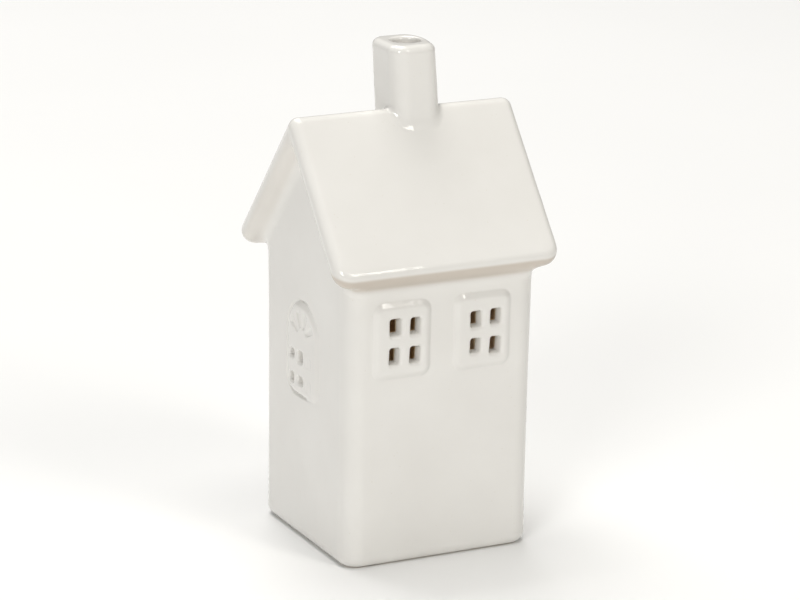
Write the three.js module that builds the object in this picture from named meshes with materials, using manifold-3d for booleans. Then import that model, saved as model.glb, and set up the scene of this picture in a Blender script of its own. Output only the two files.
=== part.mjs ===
// House tea light holder: a white glazed ceramic house that a tea light stands in.
// Millimetres, +Z up. The origin is the middle of the foot, the ridge runs along X, the wall with two
// windows faces -Y and the doorway for the tea light is in the +Y wall. The casting is divided into its
// members on flat planes: floor, four walls, window panels, roof with both gables, and chimney.

import * as THREE from "three";
import { mergeVertices } from "three/addons/utils/BufferGeometryUtils.js";
import Module from "manifold-3d";

const wasm = await Module();
wasm.setup();

// Walls and floor
const BODY_WIDTH = 80; // across X at the foot
const BODY_DEPTH = 78; // across Y at the foot
const WALL_TOP = 108; // where the roof casting starts
const WALL = 4;
const CORNER_RADIUS = 8;
const WALL_LEAN = 0.5; // how far each wall has leaned out at its top
const WALL_BOW = 0.25; // how far each wall bows in at half height
const FLOOR = 5;
const FOOT_RADIUS = 4;
const FOOT_RING = 9; // width of the ring that the house stands on
const FOOT_RECESS = 1;

// Roof
const GABLE_OVERHANG = 7.25;
const EAVE_OVERHANG = 6.1;
const EAVE_RISE = 9.25; // middle of the eave's round edge above the wall top
const REAR_SLOPE_LONGER = 5; // how much further down the rear slope runs than the front one
const ROOF_PITCH = THREE.MathUtils.degToRad(49.7);
const ROOF_EDGE = 8.4; // thickness of the overhanging edge
const ROOF_SKIN = 4; // thickness over the attic

// Chimney and flue
const CHIMNEY_LENGTH = 19.6; // along X
const CHIMNEY_DEPTH = 24.2; // along Y
const CHIMNEY_X = 4.4; // where its middle line passes the level of the ridge
const CHIMNEY_Y = 5.3;
const CHIMNEY_RISE = 22.7; // above the line where the two slopes would meet
const CHIMNEY_LEAN = -1.4; // along X, from the ridge to the top
const CHIMNEY_CORNER = 6.3;
const CHIMNEY_TOP_ROUND = 2.7;
const FLUE_LENGTH = 11.4;
const FLUE_DEPTH = 11;
const FLUE_CORNER = 5.4;
const FLUE_SHIFT = [1.4, 0.5]; // from the chimney's middle line

// Front windows: two raised panels of four panes
const PANEL_HEIGHT = 30;
const PANEL_MARGIN = 3; // from the wall top, and from the flat wall's ends
const PIER = 10; // wall between the two panels
const PANEL_SHIFT = -1; // both panels along X
const RELIEF = 1.25; // how far every panel stands proud of the wall
const PANEL_BEVEL = 1.5;
const PANE_WIDTH = 4.2;
const PANE_HEIGHT = 6.5;
const PANE_SPACING_X = 8.5;
const PANE_SPACING_Z = 11.1;
const PANE_SHIFT = [-0.5, 1.25]; // of the four panes in their panel, along Z and X

// Gable windows: arched, with a fan of four recesses over three columns of panes
const ARCH_RADIUS = 14;
const ARCH_TOP_MARGIN = 12; // from the wall top to the crown
const ARCH_JAMB = 23;
const ARCH_SHIFT = 0.5; // along Y
const ARCH_PANE_WIDTH = 4.2;
const ARCH_PANE_HEIGHT = 4.6;
const ARCH_PANE_SPACING_Y = 7.8;
const ARCH_PANE_SPACING_Z = 9.6;
const ARCH_PANE_TOP = 6.1; // from the springing line down to the upper panes
const ARCH_PANE_SHIFT = 1.7; // of the three columns in their panel, along Y
const FAN_ANGLES = [-57, -18, 18, 57]; // degrees from upright
const FAN_INNER = 4.5;
const FAN_OUTER = 10.5;
const FAN_SPREAD = 18; // degrees that one recess takes
const RECESS = 0.6; // depth of the fan and of the blind panes

// Tea light and the doorway that it passes
const CUP_DIAMETER = 38;
const CUP_HEIGHT = 16;
const CUP_FOIL = 0.4;
const CUP_TAPER = 0.6; // the base is this much smaller in radius than the mouth
const CUP_RIM = 0.5;
const WAX_DROP = 3.5; // wax surface below the rim
const WICK_DIAMETER = 1.6;
const WICK_SHOWING = 6;
const SUSTAINER_DIAMETER = 12;
const SUSTAINER_PLATE = 0.3;
const SUSTAINER_NECK = 3.2;
const SUSTAINER_SLEEVE = 0.4;
const DOOR_CLEARANCE = 5; // beside the cup, on each side
const DOOR_JAMB = 26; // the crown stays under every line of sight through the photographed panes
const GAP = 0.3; // between pieces that are not held together

const CORNER_STEPS = 6;
const EDGE_STEPS = 4;
const ARC_STEPS = 8;
const ROUND_STEPS = 48;
const LAST_EDGE_ANGLE = THREE.MathUtils.degToRad(80); // the roof's round edge ends in a narrow flat

// What follows from the driving dimensions
const bodyHalf = [BODY_WIDTH / 2, BODY_DEPTH / 2];
const roomHalf = bodyHalf.map((half) => half - WALL);
const flatHalf = bodyHalf.map((half) => half - CORNER_RADIUS);
const noseRadius = ROOF_EDGE / 2;
const roofHalfX = bodyHalf[0] + GABLE_OVERHANG;
const noseY = bodyHalf[1] + EAVE_OVERHANG - noseRadius;
const noseZ = WALL_TOP + EAVE_RISE;
const rearNose = [
  noseY + REAR_SLOPE_LONGER * Math.cos(ROOF_PITCH),
  noseZ - REAR_SLOPE_LONGER * Math.sin(ROOF_PITCH),
];
const ridgeY = (noseY - rearNose[0]) / 2; // puts the origin under the middle of the roof's box
const apexZ = noseZ + noseY * Math.tan(ROOF_PITCH); // ridge of the roof's middle layer
const slopesMeetZ = apexZ + noseRadius / Math.cos(ROOF_PITCH);
const chimneyTopZ = slopesMeetZ + CHIMNEY_RISE;
const PAST = 20; // how far a cutting tool runs past what it cuts

// Solids from outlines

// Which way a stack of outlines grows: an outline point (a, b) at level c becomes x, y, z.
const ALONG = {
  x: (a, b, c) => [c, a, b],
  y: (a, b, c) => [b, c, a],
  z: (a, b, c) => [a, b, c],
};

function solidFrom(positions, triangles) {
  const mesh = new wasm.Mesh({
    numProp: 3,
    vertProperties: Float32Array.from(positions),
    triVerts: Uint32Array.from(triangles),
  });
  return new wasm.Manifold(mesh);
}

// A closed solid through layers { at, outline }. The outlines turn anticlockwise, have equally many
// points and follow each other up the axis.
function stack(axis, layers) {
  const count = layers[0].outline.length;
  const place = ALONG[axis];
  const positions = layers.flatMap(({ at, outline }) => outline.flatMap(([a, b]) => place(a, b, at)));
  const triangles = [];
  for (let layer = 0; layer + 1 < layers.length; layer++) {
    for (let i = 0; i < count; i++) {
      const low = [layer * count + i, layer * count + ((i + 1) % count)];
      const high = low.map((index) => index + count);
      triangles.push(low[0], low[1], high[1], low[0], high[1], high[0]);
    }
  }
  const flat = (outline) => outline.map(([a, b]) => new THREE.Vector2(a, b));
  const lid = (outline) => THREE.ShapeUtils.triangulateShape(flat(outline), []);
  const last = (layers.length - 1) * count;
  for (const [a, b, c] of lid(layers[0].outline)) triangles.push(a, c, b);
  for (const [a, b, c] of lid(layers.at(-1).outline)) triangles.push(last + a, last + b, last + c);
  return solidFrom(positions, triangles);
}

const prism = (axis, outline, low, high) => stack(axis, [{ at: low, outline }, { at: high, outline }]);

const evenly = (from, to, steps) => {
  return Array.from({ length: steps + 1 }, (_, i) => from + ((to - from) * i) / steps);
};

function block(low, high) {
  const outline = [[low[0], low[1]], [high[0], low[1]], [high[0], high[1]], [low[0], high[1]]];
  return prism("z", outline, low[2], high[2]);
}

function arc(centre, radius, from, to, steps) {
  return evenly(from, to, steps).map((angle) => {
    return [centre[0] + radius * Math.cos(angle), centre[1] + radius * Math.sin(angle)];
  });
}

function roundedRectangle(halfA, halfB, radius, centre = [0, 0]) {
  return [[1, 1], [-1, 1], [-1, -1], [1, -1]].flatMap(([signA, signB], quarter) => {
    const corner = [centre[0] + signA * (halfA - radius), centre[1] + signB * (halfB - radius)];
    return arc(corner, radius, (quarter * Math.PI) / 2, ((quarter + 1) * Math.PI) / 2, CORNER_STEPS);
  });
}

// A round solid from a profile of [radius, height] that starts and ends on the axis or closes on itself.
function turned(profile) {
  const lathe = new THREE.LatheGeometry(profile.map(([r, z]) => new THREE.Vector2(r, z)), ROUND_STEPS);
  lathe.rotateX(Math.PI / 2);
  lathe.deleteAttribute("normal");
  lathe.deleteAttribute("uv");
  const merged = mergeVertices(lathe);
  const corners = Array.from(merged.index.array);
  const triangles = [];
  for (let i = 0; i < corners.length; i += 3) {
    const [a, b, c] = corners.slice(i, i + 3);
    if (a !== b && b !== c && c !== a) triangles.push(a, b, c);
  }
  return solidFrom(merged.attributes.position.array, triangles);
}

// Body: floor and walls

// The outside of the house at height z: it leans out upwards, bows in and is rounded at the foot.
function bodyOutline(z) {
  const share = Math.min(z / WALL_TOP, 1);
  const lean = WALL_LEAN * share - WALL_BOW * 4 * share * (1 - share);
  const rise = Math.max(FOOT_RADIUS - z, 0);
  const inset = FOOT_RADIUS - Math.sqrt(FOOT_RADIUS ** 2 - rise ** 2) - lean;
  return roundedRectangle(bodyHalf[0] - inset, bodyHalf[1] - inset, CORNER_RADIUS - Math.max(inset, 0));
}

const bodyLayers = (levels) => levels.map((z) => ({ at: z, outline: bodyOutline(z) }));

function room(low, high) {
  return prism("z", roundedRectangle(roomHalf[0], roomHalf[1], CORNER_RADIUS - WALL), low, high);
}

function floor() {
  const quarter = evenly(0, Math.PI / 2, EDGE_STEPS).map((angle) => FOOT_RADIUS * (1 - Math.cos(angle)));
  const slab = stack("z", bodyLayers([...quarter, FLOOR]));
  const ringHalf = bodyHalf.map((half) => half - FOOT_RING);
  const recess = roundedRectangle(ringHalf[0], ringHalf[1], CORNER_RADIUS / 2);
  return slab.subtract(prism("z", recess, -PAST, FOOT_RECESS));
}

const WALL_STEPS = 6;
const wallBlank = stack("z", bodyLayers(evenly(FLOOR, WALL_TOP, WALL_STEPS)));
const wallShell = wallBlank.subtract(room(FLOOR - PAST, WALL_TOP + PAST));

// The front and rear walls run between the rounded corners, and the side walls hold the corners.
const farX = bodyHalf[0] + PAST;
const farY = bodyHalf[1] + PAST;
const frontWallBlank = wallShell.intersect(block([-flatHalf[0], -farY, 0], [flatHalf[0], 0, WALL_TOP]));
const rearWallBlank = wallShell.intersect(block([-flatHalf[0], 0, 0], [flatHalf[0], farY, WALL_TOP]));
const leftWallBlank = wallShell.intersect(block([-farX, -farY, 0], [-flatHalf[0], farY, WALL_TOP]));
const rightWallBlank = wallShell.intersect(block([flatHalf[0], -farY, 0], [farX, farY, WALL_TOP]));

// Doorway in the rear wall, wide enough for the tea light and level with the floor
const doorHalf = CUP_DIAMETER / 2 + DOOR_CLEARANCE;

function doorway() {
  const head = arc([FLOOR + DOOR_JAMB, 0], doorHalf, -Math.PI / 2, Math.PI / 2, 2 * ARC_STEPS);
  return prism("y", [[0, doorHalf], [0, -doorHalf], ...head], 0, farY);
}

// Front windows
const panelWidth = (2 * flatHalf[0] - PIER) / 2 - PANEL_MARGIN;
const panelZ = WALL_TOP - PANEL_MARGIN - PANEL_HEIGHT / 2;
const panelX = (PIER + panelWidth) / 2;

function rectangle(halfA, halfB, centre) {
  return [[1, 1], [-1, 1], [-1, -1], [1, -1]].map(([a, b]) => [centre[0] + a * halfA, centre[1] + b * halfB]);
}

function frontPanelOpening(side) {
  return rectangle(PANEL_HEIGHT / 2, panelWidth / 2, [panelZ, side * panelX + PANEL_SHIFT]);
}

function frontWindow(side) {
  const centre = [panelZ, side * panelX + PANEL_SHIFT];
  const raised = rectangle(PANEL_HEIGHT / 2 - PANEL_BEVEL, panelWidth / 2 - PANEL_BEVEL, centre);
  let panel = stack("y", [
    { at: -bodyHalf[1] - RELIEF, outline: raised },
    { at: -bodyHalf[1], outline: frontPanelOpening(side) },
    { at: -roomHalf[1], outline: frontPanelOpening(side) },
  ]);
  for (const row of [-1, 1]) {
    for (const column of [-1, 1]) {
      const away = [(row * PANE_SPACING_Z) / 2, (column * PANE_SPACING_X) / 2];
      const middle = centre.map((value, k) => value + PANE_SHIFT[k] + away[k]);
      panel = panel.subtract(prism("y", rectangle(PANE_HEIGHT / 2, PANE_WIDTH / 2, middle), -farY, 0));
    }
  }
  return panel;
}

const frontWall = [-1, 1].reduce(
  (wall, side) => wall.subtract(prism("y", frontPanelOpening(side), -farY, 0)),
  frontWallBlank,
);

// Gable windows
const springZ = WALL_TOP - ARCH_TOP_MARGIN - ARCH_RADIUS;

function archOutline(inset) {
  const half = ARCH_RADIUS - inset;
  const sill = springZ - ARCH_JAMB + inset;
  const crown = arc([ARCH_SHIFT, springZ], half, 0, Math.PI, 2 * ARC_STEPS);
  return [[ARCH_SHIFT - half, sill], [ARCH_SHIFT + half, sill], ...crown];
}

// One recess of the fan: a ring sector round the middle of the springing line.
function fanOutline(degrees) {
  const middle = THREE.MathUtils.degToRad(90 - degrees);
  const half = THREE.MathUtils.degToRad(FAN_SPREAD) / 2;
  const outer = arc([ARCH_SHIFT, springZ], FAN_OUTER, middle - half, middle + half, 2);
  const inner = arc([ARCH_SHIFT, springZ], FAN_INNER, middle + half, middle - half, 2);
  return [...outer, ...inner];
}

// The panel in the side wall on the -X or +X side. The column of panes nearest the front stayed blind.
function gableWindow(side) {
  const raisedX = side * (bodyHalf[0] + RELIEF);
  const layers = [
    { at: raisedX, outline: archOutline(PANEL_BEVEL) },
    { at: side * bodyHalf[0], outline: archOutline(0) },
    { at: side * roomHalf[0], outline: archOutline(0) },
  ].sort((one, other) => one.at - other.at);
  let panel = stack("x", layers);
  const cut = (outline, depth) => {
    const ends = [raisedX - side * depth, raisedX + side * PAST].sort((one, other) => one - other);
    panel = panel.subtract(prism("x", outline, ends[0], ends[1]));
  };
  for (const degrees of FAN_ANGLES) cut(fanOutline(degrees), RECESS);
  for (const column of [-1, 0, 1]) {
    for (const row of [0, 1]) {
      const z = springZ - ARCH_PANE_TOP - ARCH_PANE_HEIGHT / 2 - row * ARCH_PANE_SPACING_Z;
      const y = ARCH_SHIFT + ARCH_PANE_SHIFT + column * ARCH_PANE_SPACING_Y;
      const through = WALL + RELIEF + PAST;
      cut(rectangle(ARCH_PANE_WIDTH / 2, ARCH_PANE_HEIGHT / 2, [y, z]), column < 0 ? RECESS : through);
    }
  }
  return panel;
}

const archHole = (side) => prism("x", archOutline(0), Math.min(0, side * farX), Math.max(0, side * farX));

// Roof with its gables

// The roof's middle layer as a line in (y, z), swelled by radius on both sides.
function roofOutline(radius) {
  const away = Math.PI / 2 - ROOF_PITCH; // direction of the right slope's outward normal
  const inside = apexZ - radius / Math.cos(ROOF_PITCH);
  return [
    ...arc([0, apexZ], radius, away, Math.PI - away, ARC_STEPS),
    ...arc([-noseY, noseZ], radius, Math.PI - away, 2 * Math.PI - away, ARC_STEPS),
    [0, inside],
    ...arc(rearNose, radius, away - Math.PI, away, ARC_STEPS),
  ];
}

function roofSlab() {
  const edge = roofHalfX - noseRadius;
  const side = evenly(0, LAST_EDGE_ANGLE, EDGE_STEPS).map((angle) => {
    return { at: edge + noseRadius * Math.sin(angle), outline: roofOutline(noseRadius * Math.cos(angle)) };
  });
  side.at(-1).at = roofHalfX;
  const mirrored = side.map(({ at, outline }) => ({ at: -at, outline })).reverse();
  return stack("x", [...mirrored, ...side]);
}

// Everything under the roof's middle layer moved outwards by offset, between two levels along X.
function underRoof(offset, halfLength) {
  const apex = apexZ + offset / Math.cos(ROOF_PITCH);
  const eave = apex - farY * Math.tan(ROOF_PITCH);
  const below = Math.min(eave, 0) - PAST;
  const outline = [[-farY, below], [farY, below], [farY, eave], [0, apex], [-farY, eave]];
  return prism("x", outline, -halfLength, halfLength);
}

const topZ = chimneyTopZ + PAST;

function chimneyCentre(z) {
  const share = (z - slopesMeetZ) / (chimneyTopZ - slopesMeetZ);
  return [CHIMNEY_X + CHIMNEY_LEAN * share, CHIMNEY_Y];
}

function flueOutline(z) {
  const centre = chimneyCentre(z).map((value, k) => value + FLUE_SHIFT[k]);
  return roundedRectangle(FLUE_LENGTH / 2, FLUE_DEPTH / 2, FLUE_CORNER, centre);
}

const flue = stack("z", [WALL_TOP, topZ].map((z) => ({ at: z, outline: flueOutline(z) })));

function roof() {
  const gables = stack("z", bodyLayers([WALL_TOP, topZ])).intersect(underRoof(0, farX));
  const attic = room(WALL_TOP - PAST, topZ).intersect(underRoof(noseRadius - ROOF_SKIN, farX));
  return roofSlab().add(gables).subtract(attic).subtract(flue);
}

// Chimney: a leaning tube that sits astride the ridge, more of it behind than in front
function chimney() {
  const layer = (z, inset) => {
    const halves = [CHIMNEY_LENGTH / 2 - inset, CHIMNEY_DEPTH / 2 - inset];
    return { at: z, outline: roundedRectangle(...halves, CHIMNEY_CORNER - inset, chimneyCentre(z)) };
  };
  const shoulder = evenly(0, Math.PI / 2, EDGE_STEPS).map((angle) => {
    const drop = CHIMNEY_TOP_ROUND * (1 - Math.sin(angle));
    return layer(chimneyTopZ - drop, CHIMNEY_TOP_ROUND * (1 - Math.cos(angle)));
  });
  const tube = stack("z", [layer(WALL_TOP, 0), ...shoulder]).subtract(flue);
  return tube.subtract(underRoof(noseRadius + GAP, roofHalfX));
}

// Tea light, in its own frame with its base at z = 0
const cupRadius = CUP_DIAMETER / 2 - CUP_RIM;
const cupBase = cupRadius - CUP_TAPER;
const waxTop = CUP_HEIGHT - WAX_DROP;
const bore = WICK_DIAMETER / 2;

// Radius inside the cup's foil at a height
const cupInside = (z) => cupBase + (CUP_TAPER * z) / CUP_HEIGHT - CUP_FOIL;

function cup() {
  return turned([
    [0, 0],
    [cupBase, 0],
    [cupRadius, CUP_HEIGHT - 2 * CUP_RIM],
    [cupRadius + CUP_RIM, CUP_HEIGHT - CUP_RIM],
    [cupRadius, CUP_HEIGHT],
    [cupInside(CUP_HEIGHT), CUP_HEIGHT],
    [cupInside(CUP_FOIL), CUP_FOIL],
    [0, CUP_FOIL],
  ]);
}

// The wax is cast round the sustainer and the wick, with a gap to the cup and to both.
function wax() {
  const sleeve = bore + SUSTAINER_SLEEVE + GAP;
  const neckTop = CUP_FOIL + SUSTAINER_NECK + GAP;
  const plateTop = CUP_FOIL + SUSTAINER_PLATE + GAP;
  const plate = SUSTAINER_DIAMETER / 2 + GAP;
  return turned([
    [bore + GAP, neckTop],
    [sleeve, neckTop],
    [sleeve, plateTop],
    [plate, plateTop],
    [plate, CUP_FOIL],
    [cupInside(CUP_FOIL) - GAP, CUP_FOIL],
    [cupInside(waxTop) - GAP, waxTop],
    [bore + GAP, waxTop],
    [bore + GAP, neckTop],
  ]);
}

function sustainer() {
  const plateTop = CUP_FOIL + SUSTAINER_PLATE;
  const neckTop = CUP_FOIL + SUSTAINER_NECK;
  const inner = bore + GAP / 2;
  const outer = bore + SUSTAINER_SLEEVE;
  return turned([
    [0, CUP_FOIL],
    [SUSTAINER_DIAMETER / 2, CUP_FOIL],
    [SUSTAINER_DIAMETER / 2, plateTop],
    [outer, plateTop],
    [outer, neckTop],
    [inner, neckTop],
    [inner, plateTop],
    [0, plateTop],
  ]);
}

function wick() {
  const foot = CUP_FOIL + SUSTAINER_PLATE;
  return turned([[0, foot], [bore, foot], [bore, waxTop + WICK_SHOWING], [0, waxTop + WICK_SHOWING]]);
}

// Materials
const material = (name, color, roughness, metalness) => {
  return new THREE.MeshStandardMaterial({ name, color, roughness, metalness });
};
const glaze = material("white_glaze", 0xe6e2da, 0.12, 0);
const foil = material("cup_foil", 0xc9cbcc, 0.32, 1);
const paraffin = material("paraffin", 0xf1ede2, 0.45, 0);
const cotton = material("cotton", 0xe5dfd0, 0.9, 0);
const tinned = material("tinned_plate", 0xb4b5b3, 0.4, 1);

function piece(name, solid, finish) {
  const mesh = solid.getMesh();
  const geometry = new THREE.BufferGeometry();
  geometry.setAttribute("position", new THREE.BufferAttribute(Float32Array.from(mesh.vertProperties), 3));
  geometry.setIndex(new THREE.BufferAttribute(Uint32Array.from(mesh.triVerts), 1));
  geometry.computeVertexNormals();
  const node = new THREE.Mesh(geometry, finish);
  node.name = name;
  return node;
}

const house = new THREE.Group();
house.position.set(0, ridgeY, 0);
house.add(
  piece("floor", floor(), glaze),
  piece("front_wall", frontWall, glaze),
  piece("rear_wall", rearWallBlank.subtract(doorway()), glaze),
  piece("left_wall", leftWallBlank.subtract(archHole(-1)), glaze),
  piece("right_wall", rightWallBlank.subtract(archHole(1)), glaze),
  piece("front_window_left", frontWindow(-1), glaze),
  piece("front_window_right", frontWindow(1), glaze),
  piece("gable_window_left", gableWindow(-1), glaze),
  piece("gable_window_right", gableWindow(1), glaze),
  piece("roof", roof(), glaze),
  piece("chimney", chimney(), glaze),
);

const teaLight = new THREE.Group();
teaLight.position.set(0, ridgeY, FLOOR + GAP);
teaLight.add(
  piece("tea_light_cup", cup(), foil),
  piece("tea_light_wax", wax(), paraffin),
  piece("wick_sustainer", sustainer(), tinned),
  piece("wick", wick(), cotton),
);

const teaLightHouse = new THREE.Group();
teaLightHouse.add(house, teaLight);

export default teaLightHouse;
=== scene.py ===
import bmesh
import bpy
import numpy as np
from mathutils import Matrix, Quaternion, Vector


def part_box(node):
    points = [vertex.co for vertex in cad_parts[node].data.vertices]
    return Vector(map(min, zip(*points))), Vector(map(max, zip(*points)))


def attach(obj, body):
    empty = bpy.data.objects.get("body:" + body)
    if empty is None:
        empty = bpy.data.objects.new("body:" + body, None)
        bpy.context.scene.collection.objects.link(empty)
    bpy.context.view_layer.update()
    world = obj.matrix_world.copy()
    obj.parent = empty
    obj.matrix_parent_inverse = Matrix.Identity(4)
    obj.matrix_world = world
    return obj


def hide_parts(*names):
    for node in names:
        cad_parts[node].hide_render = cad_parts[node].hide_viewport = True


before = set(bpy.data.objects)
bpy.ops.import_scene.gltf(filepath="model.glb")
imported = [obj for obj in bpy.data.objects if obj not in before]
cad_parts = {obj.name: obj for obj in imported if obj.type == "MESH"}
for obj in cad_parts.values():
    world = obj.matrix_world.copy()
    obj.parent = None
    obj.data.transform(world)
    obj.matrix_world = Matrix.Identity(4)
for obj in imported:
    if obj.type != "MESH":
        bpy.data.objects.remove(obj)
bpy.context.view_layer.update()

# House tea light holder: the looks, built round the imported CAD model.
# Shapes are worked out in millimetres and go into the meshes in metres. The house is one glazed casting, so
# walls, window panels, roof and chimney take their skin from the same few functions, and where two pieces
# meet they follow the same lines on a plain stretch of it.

MM = 0.001
FOOT_MIDDLE = np.mean(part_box("floor"), axis=0) * [0, 1, 0]  # the ridge is over it, in metres


def span(node):
    """Lowest and highest corner of a CAD node, in millimetres from the middle of the foot."""
    low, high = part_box(node)
    return (np.array(low) - FOOT_MIDDLE) / MM, (np.array(high) - FOOT_MIDDLE) / MM


# Levels and places that the CAD model gives
FLOOR_TOP = span("floor")[1][2]
WALL_TOP = span("front_wall")[1][2]
PANELS = {node: span(node) for node in ("front_window_left", "front_window_right")}
ARCH_LOW, ARCH_HIGH = span("gable_window_right")
ROOF_LOW, ROOF_HIGH = span("roof")
CHIMNEY_TOP = span("chimney")[1][2]
CUP_LOW, CUP_HIGH = span("tea_light_cup")
WAX_TOP = span("tea_light_wax")[1][2]
WICK_LOW, WICK_HIGH = span("wick")
SUSTAINER_LOW, SUSTAINER_HIGH = span("wick_sustainer")

# Body
HALF_X, HALF_Y = 40.0, 39.0  # at the foot
CORNER = 8.0
WALL = 4.0
LEAN, BOW = 0.5, 0.25  # the walls lean out to their top and bow in half way up
FOOT_ROUND = 4.0
RECESS_HALF_X, RECESS_HALF_Y, RECESS = 31.0, 30.0, 1.0  # under the floor, inside the ring
INNER_COVE = 3.0  # between floor and walls inside
SEAM_X = HALF_X - CORNER
SEAM_Y = HALF_Y - CORNER
BEND = CORNER * np.pi / 2  # length of one rounded corner, measured round the foot
SIDE_MIDDLE = SEAM_X + BEND + SEAM_Y  # from the middle of the front round to the middle of a side wall

# Roof
PITCH = np.radians(49.7)
EDGE = 4.2  # radius of the roof's rounded edge
NOSE_X = ROOF_HIGH[0] - EDGE
NOSE_Y = -ROOF_LOW[1] - EDGE
REAR_NOSE_Y = ROOF_HIGH[1] - EDGE  # the rear slope runs further down than the front one
NOSE_Z = WALL_TOP + 9.25  # middle of the front eave's round edge
APEX_Z = NOSE_Z + NOSE_Y * np.tan(PITCH)
SLOPES_MEET_Z = APEX_Z + EDGE / np.cos(PITCH)
ATTIC_APEX = APEX_Z + (EDGE - WALL) / np.cos(PITCH)  # ridge of the ceiling under the roof
EAVE_COVE, EAVE_CORNER = 5.8, 3.0  # radius under the roof's edge, and of the eaves' ends
VALLEY = 1.5  # how much slip softens the fold under the ridge

# Chimney
STACK_HALF_X, STACK_HALF_Y, STACK_CORNER = 9.8, 12.1, 6.3
STACK_X, STACK_Y, STACK_LEAN = 4.4, 5.3, -1.4  # its lean is along X, from the ridge to the top
STACK_FLARE = 0.5  # its right side spreads this much towards the foot
STACK_ROUND, FLUE_ROUND = 3.0, 1.4
FLUE_HALF_X, FLUE_HALF_Y, FLUE_CORNER = 5.7, 5.5, 5.4
FLUE_GAP = 0.25  # between the chimney's flue and its hole in the roof
FLUE_X, FLUE_Y = 1.4, 5.8  # X from the leaning middle line, Y in the house
FLUE_GLAZED = 14.0  # the glaze runs this far down the flue
SADDLE = 1.9  # radius of the glazed cove where the chimney stands on the roof

# Windows
RELIEF, ARCH_RELIEF, ARCH_GROOVE = 1.4, 0.95, 0.6
RELIEF_STARTS, RELIEF_WIDTH = 0.4, 3.0  # outside a panel's outline, and inwards from there
PANEL_CORNER, SILL_CORNER = 4.2, 6.0
PANE_HALF, PANE_CORNER = (2.1, 3.25), 0.9
PANE_APART, PANE_SHIFT = (8.5, 11.1), (1.25, -0.5)
ARCH_PANE_HALF, ARCH_PANE_CORNER = (2.1, 2.3), 0.9
ARCH_PANE_APART, ARCH_PANE_SHIFT = (7.8, 9.6), 1.7
ARCH_PANE_TOP = 6.1
PANE_LIP, PANE_BACK_LIP, PANE_TAPER = 1.5, 0.6, 0.45
FAN_ANGLES, FAN_INNER, FAN_OUTER, FAN_HALF_SPREAD = (-57, -18, 18, 57), 4.5, 10.5, 9.0
FAN_DEPTH, BLIND_DEPTH = 0.5, 0.18

# Doorway
DOOR_HALF, DOOR_SPRING = 24.0, 31.0
DOOR_LIP = 1.3

GLAZE_RUNS_IN = 3.3  # how deep the glaze follows an opening before bare clay shows


# Surfaces to meshes

def grid_faces(rows, columns, closed_rows=False, closed_columns=False):
    """Quads between the neighbouring points of a grid, closing on itself where asked."""
    row = np.arange(rows if closed_rows else rows - 1)
    column = np.arange(columns if closed_columns else columns - 1)
    row, column = np.meshgrid(row, column, indexing="ij")
    next_row, next_column = (row + 1) % rows, (column + 1) % columns
    corners = [row * columns + column, row * columns + next_column,
               next_row * columns + next_column, next_row * columns + column]
    return np.stack(corners, -1).reshape(-1, 4)


def sheet(points, closed_rows=False, closed_columns=False, keep=None):
    """A grid of points (rows, columns, 3) with its faces. keep tells which cells of the grid are there."""
    faces = grid_faces(*points.shape[:2], closed_rows, closed_columns)
    if keep is not None:
        faces = faces[keep.ravel()]
    return points.reshape(-1, 3), faces


def piece(name, sheets, materials, body, node, bare=None, sharp=38.0):
    """One closed mesh from sheets that meet along their edges. Points nearer than 2 micrometres become one
    and faces are turned outwards. On the house, bare(middles) tells which faces take the second material,
    and the attribute painted_eave_shade holds painted shade: how far the glaze colour is darkened to warm
    brown under the roof's edges at each point."""
    starts = np.cumsum([0] + [len(points) for points, _ in sheets])
    points = np.concatenate([points for points, _ in sheets]) * MM + FOOT_MIDDLE
    faces = np.concatenate([faces + start for (_, faces), start in zip(sheets, starts)])
    used, faces = np.unique(faces, return_inverse=True)
    mesh = bpy.data.meshes.new(name)
    mesh.from_pydata(points[used].tolist(), [], faces.reshape(-1, 4).tolist())
    shell = bmesh.new()
    shell.from_mesh(mesh)
    bmesh.ops.remove_doubles(shell, verts=shell.verts, dist=2e-6)
    bmesh.ops.recalc_face_normals(shell, faces=shell.faces)
    shell.to_mesh(mesh)
    shell.free()
    for material in materials:
        mesh.materials.append(material)
    if bare is not None:
        middles = np.zeros(len(mesh.polygons) * 3)
        mesh.polygons.foreach_get("center", middles)
        which = bare((middles.reshape(-1, 3) - FOOT_MIDDLE) / MM).astype(np.int32)
        mesh.polygons.foreach_set("material_index", which)
        # Painted shade: per point, how far the glaze colour is darkened to warm brown under the roof's edges
        corners = np.zeros(len(mesh.vertices) * 3)
        mesh.vertices.foreach_get("co", corners)
        eave_shade_share = mesh.attributes.new("painted_eave_shade", "FLOAT", "POINT")
        places = (corners.reshape(-1, 3) - FOOT_MIDDLE) / MM
        eave_shade_share.data.foreach_set("value", painted_eave_shade(places).astype(np.float32))
    mesh.shade_smooth()
    mesh.set_sharp_from_angle(angle=np.radians(sharp))
    mesh.update()
    made = bpy.data.objects.new(name, mesh)
    bpy.context.scene.collection.objects.link(made)
    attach(made, body)
    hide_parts(node)
    return made


def ruled(marks, steps):
    """Coordinates from the first mark to the last, with that many even steps between neighbouring marks."""
    runs = [np.linspace(a, b, n + 1)[:-1] for a, b, n in zip(marks, marks[1:], steps)]
    return np.concatenate([*runs, marks[-1:]])


def smoother(share):
    """0 to 1 along 6t^5 - 15t^4 + 10t^3, flat at both ends."""
    t = np.clip(share, 0, 1)
    return t * t * t * (t * (6 * t - 15) + 10)


# The skin of the casting

def ripple(place):
    """Slow unevenness of the hand-finished casting: three crossing sine waves of 21 to 47 mm, together up to
    0.08 mm, always inwards."""
    x, y, z = place[..., 0], place[..., 1], place[..., 2]
    waves = (np.sin(x / 5.1 + z / 7.3 + 0.7) + np.sin(y / 6.7 - z / 4.3 + 2.1)
             + np.sin((x + y) / 7.5 + z / 3.4 + 4.0))
    return 0.014 * (waves - 3)


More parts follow.
